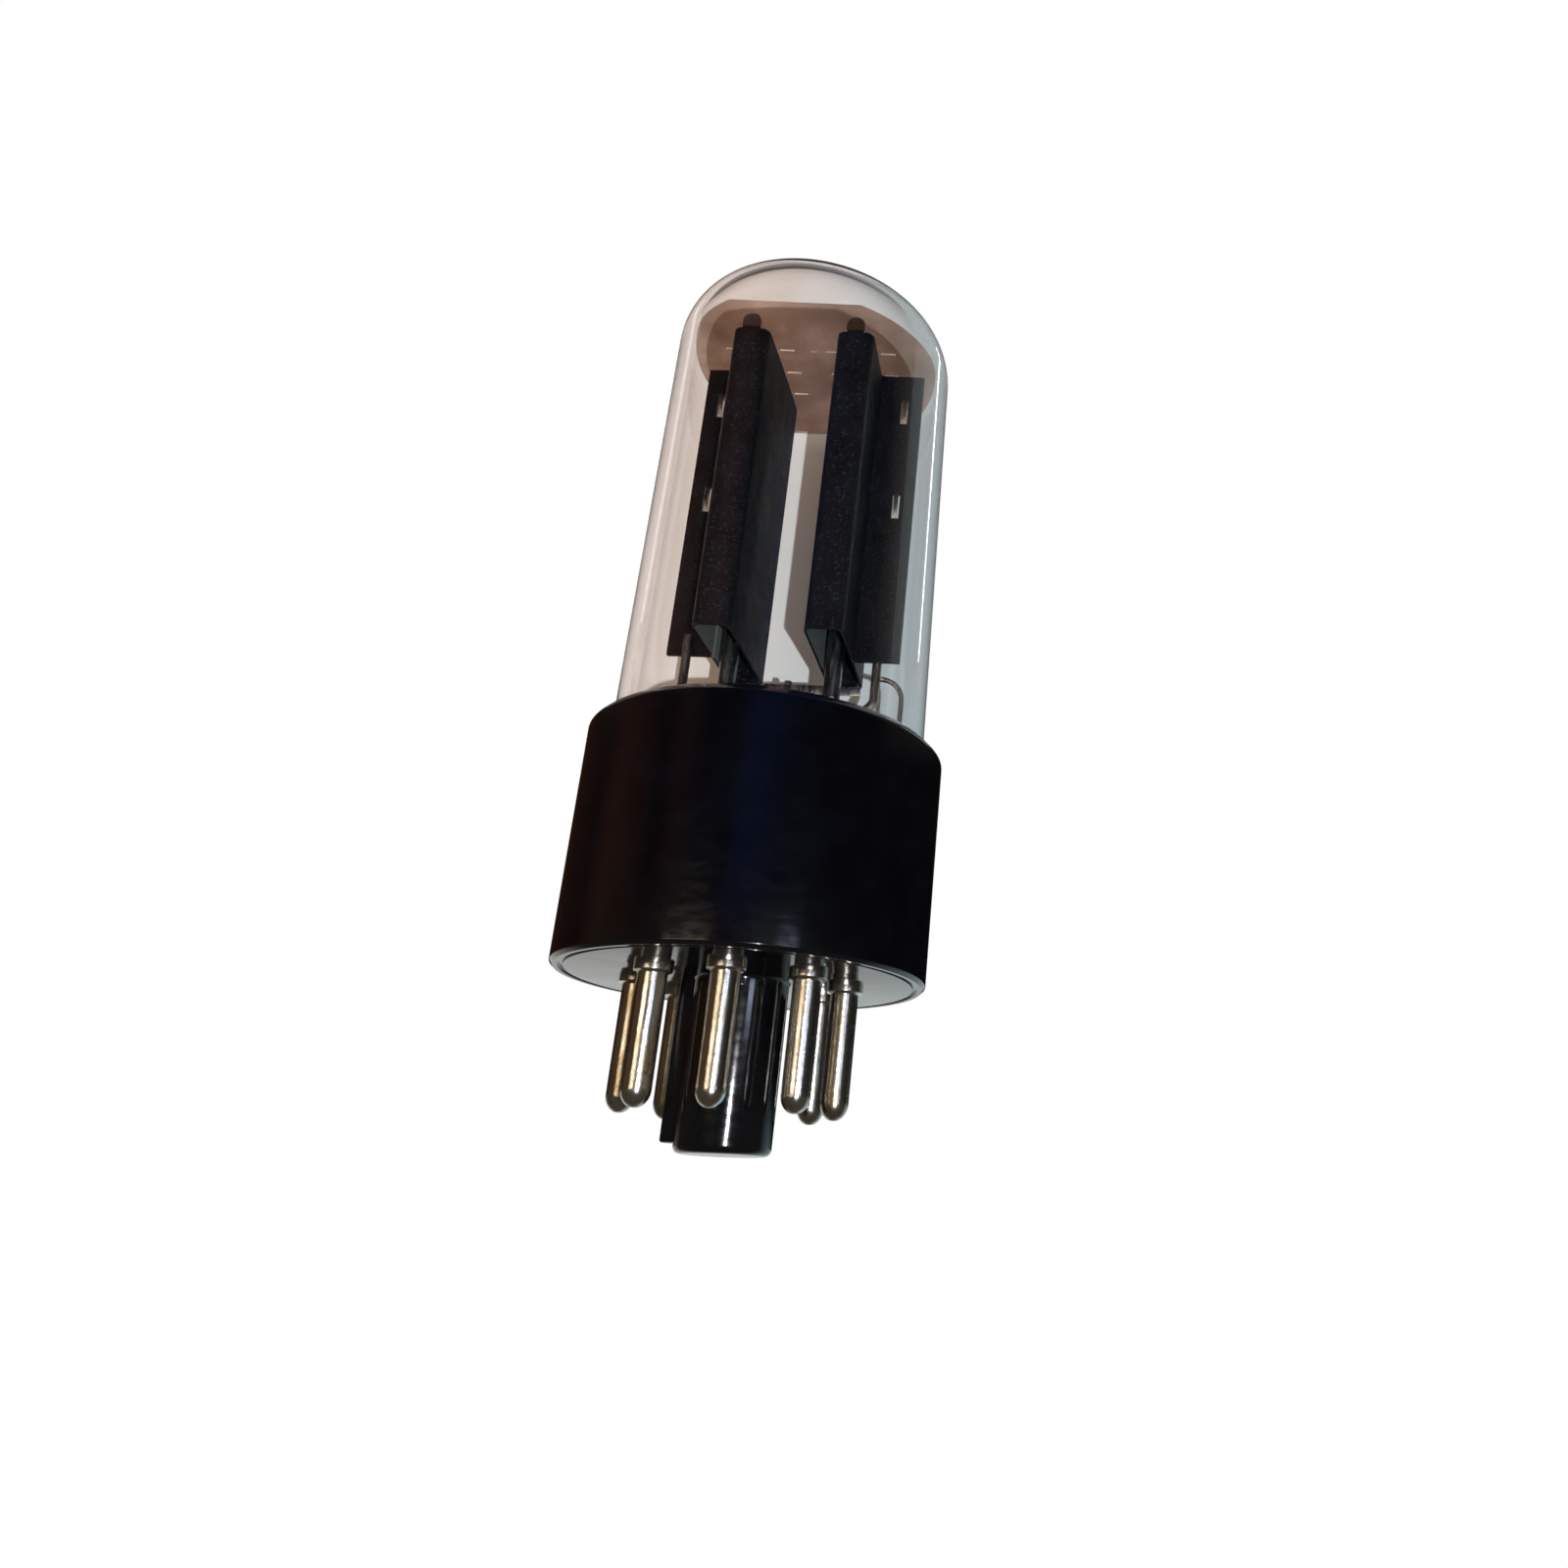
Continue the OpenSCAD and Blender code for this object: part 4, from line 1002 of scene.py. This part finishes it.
def surroundings():
    """The world: a white backdrop for the camera, a dark room for the tube to mirror, a pale room that
    shows through the glass, and a plain light that is brownish in front and greyish behind."""
    world = bpy.data.worlds.new("studio")
    bpy.context.scene.world = world
    world.use_nodes = True
    tree = world.node_tree
    tree.nodes.clear()
    ray = node(tree, "LightPath")
    # Shares of a direction to the right, to the back and upwards
    x, y, z = node(tree, "SeparateXYZ", {0: node(tree, "TexCoord").outputs["Generated"]}).outputs

    def blend(factor, first, second):
        mixed = node(tree, "Mix", {0: factor, 6: first, 7: second}, data_type="RGBA")
        return mixed.outputs[2]

    def spread(value, low, high, top=1.0):
        return node(tree, "MapRange", {
            "Value": value, "From Min": low, "From Max": high, "To Max": top}).outputs[0]

    def across(stops):
        return node(tree, "ValToRGB", {0: spread(x, -1, 1)}, stops).outputs[0]

    mirror = blend(spread(z, *LOW_TO_HIGH), across(MIRROR_LOW), across(MIRROR_HIGH))
    behind = blend(spread(z, *BEHIND_TO_HIGH), across(MIRROR_BEHIND), colour(MIRROR_BEHIND_HIGH))
    mirror = blend(spread(y, *FRONT_TO_BEHIND), mirror, behind)
    table = blend(spread(y, *TABLE_NEAR_TO_FAR), colour(MIRROR_TABLE_NEAR), across(MIRROR_TABLE))
    mirror = blend(spread(z, *TABLE_TO_LOW), table, mirror)
    fill = blend(spread(y, *FILL_FRONT_TO_BACK), colour(FILL_FRONT), colour(FILL_BACK))
    # A ray that passed through glass sees the pale room, and one that was mirrored inside the bulb sees it
    # only where it goes to the back
    unmirrored = maths(tree, "SUBTRACT", 1.0, ray.outputs["Glossy Depth"], clamp=True)
    pale = maths(tree, "MAXIMUM", unmirrored, spread(y, *INNER_DARK_TO_PALE, top=INNER_PALE))
    glass_share = maths(tree, "MULTIPLY", ray.outputs["Is Transmission Ray"], pale, clamp=True)
    seen = blend(ray.outputs["Is Glossy Ray"], fill, mirror)
    seen = blend(glass_share, seen, across(THROUGH))
    seen = blend(ray.outputs["Is Camera Ray"], seen, (1, 1, 1, 1))
    sky = node(tree, "Background", {"Color": seen, "Strength": 1})
    node(tree, "OutputWorld", {"Surface": sky.outputs[0]})


def lamp(name, turn, away, height, width, tall, power, shade, glossy=True):
    """A rectangular lamp, turned this many degrees to the right of the camera round the tube, with its
    sizes in mm and its height above the base's underside."""
    angle = CAMERA_SIDE + math.radians(turn)
    place = Vector((away * math.sin(angle), -away * math.cos(angle), height + SEAT)) * MM
    bpy.ops.object.light_add(type="AREA", location=place)
    light = bpy.context.object
    light.name = name
    aim = Vector((0, 0, (LAMP_AIM + SEAT) * MM))
    light.rotation_euler = (aim - place).to_track_quat("-Z", "Y").to_euler()
    light.data.shape = "RECTANGLE"
    light.data.size = width * MM
    light.data.size_y = tall * MM
    light.data.energy = power
    light.data.color = colour(shade)[:3]
    light.visible_camera = False
    light.visible_transmission = False
    light.visible_glossy = glossy
    return light


def even_light(light):
    """Makes a lamp as strong on what is far from it as on what is near, and keeps it out of mirrors."""
    light.data.cycles.use_multiple_importance_sampling = False
    light.data.use_nodes = True
    tree = light.data.node_tree
    tree.nodes.clear()
    even = node(tree, "LightFalloff", {"Strength": 1.0})
    glow = node(tree, "Emission", {"Strength": even.outputs["Constant"]})
    node(tree, "OutputLight", {"Surface": glow.outputs[0]})


def camera():
    """The photograph's camera, held by its direction, its roll and its place in mm."""
    bpy.ops.object.camera_add()
    view = bpy.context.object
    ahead = Vector((math.sin(CAMERA_YAW) * math.cos(CAMERA_PITCH),
                    math.cos(CAMERA_YAW) * math.cos(CAMERA_PITCH), math.sin(CAMERA_PITCH)))
    level = Vector((math.cos(CAMERA_YAW), -math.sin(CAMERA_YAW), 0))
    down = ahead.cross(level)
    right = math.cos(CAMERA_ROLL) * level + math.sin(CAMERA_ROLL) * down
    up = math.sin(CAMERA_ROLL) * level - math.cos(CAMERA_ROLL) * down
    turn = Matrix((right, up, -ahead)).transposed().to_4x4()
    place = Vector((CAMERA_AWAY * math.sin(CAMERA_SIDE), -CAMERA_AWAY * math.cos(CAMERA_SIDE),
                    SEAT - CAMERA_DROP)) * MM
    view.matrix_world = Matrix.Translation(place) @ turn
    view.data.lens = CAMERA_LENS
    view.data.sensor_width = CAMERA_SENSOR
    view.data.shift_x = CAMERA_SHIFT
    view.data.clip_start = 0.005
    bpy.context.scene.camera = view


pale_floor()
paper_backdrop()
surroundings()
# The small lamp beside the lens throws the cage's sharp shadows a little to the left on the paper
even_light(lamp("lens_lamp", turn=5, away=CAMERA_AWAY, height=-CAMERA_DROP, width=1, tall=1, power=6.7,
                shade="#f8f9ff"))
# Two low lamps give the pins and the spigot their bright streaks
lamp("cool_low_lamp", turn=23, away=550, height=32, width=110, tall=60, power=0.13, shade="#cfddff")
lamp("warm_low_lamp", turn=-36, away=550, height=30, width=250, tall=52, power=0.3, shade="#ffe4c6")
# Two tall lamps behind the tube draw the thin bright lines along the bulb's edges
lamp("right_glint", turn=128, away=600, height=440, width=30, tall=260, power=0.14, shade="#f4fbff")
lamp("left_glint", turn=-130, away=600, height=440, width=60, tall=260, power=0.05, shade="#f2eef8")
lamp("back_fill", turn=180, away=500, height=150, width=300, tall=300, power=1.0, shade="#f2f5ff",
     glossy=False)
camera()
bpy.context.scene.view_settings.view_transform = "Standard"
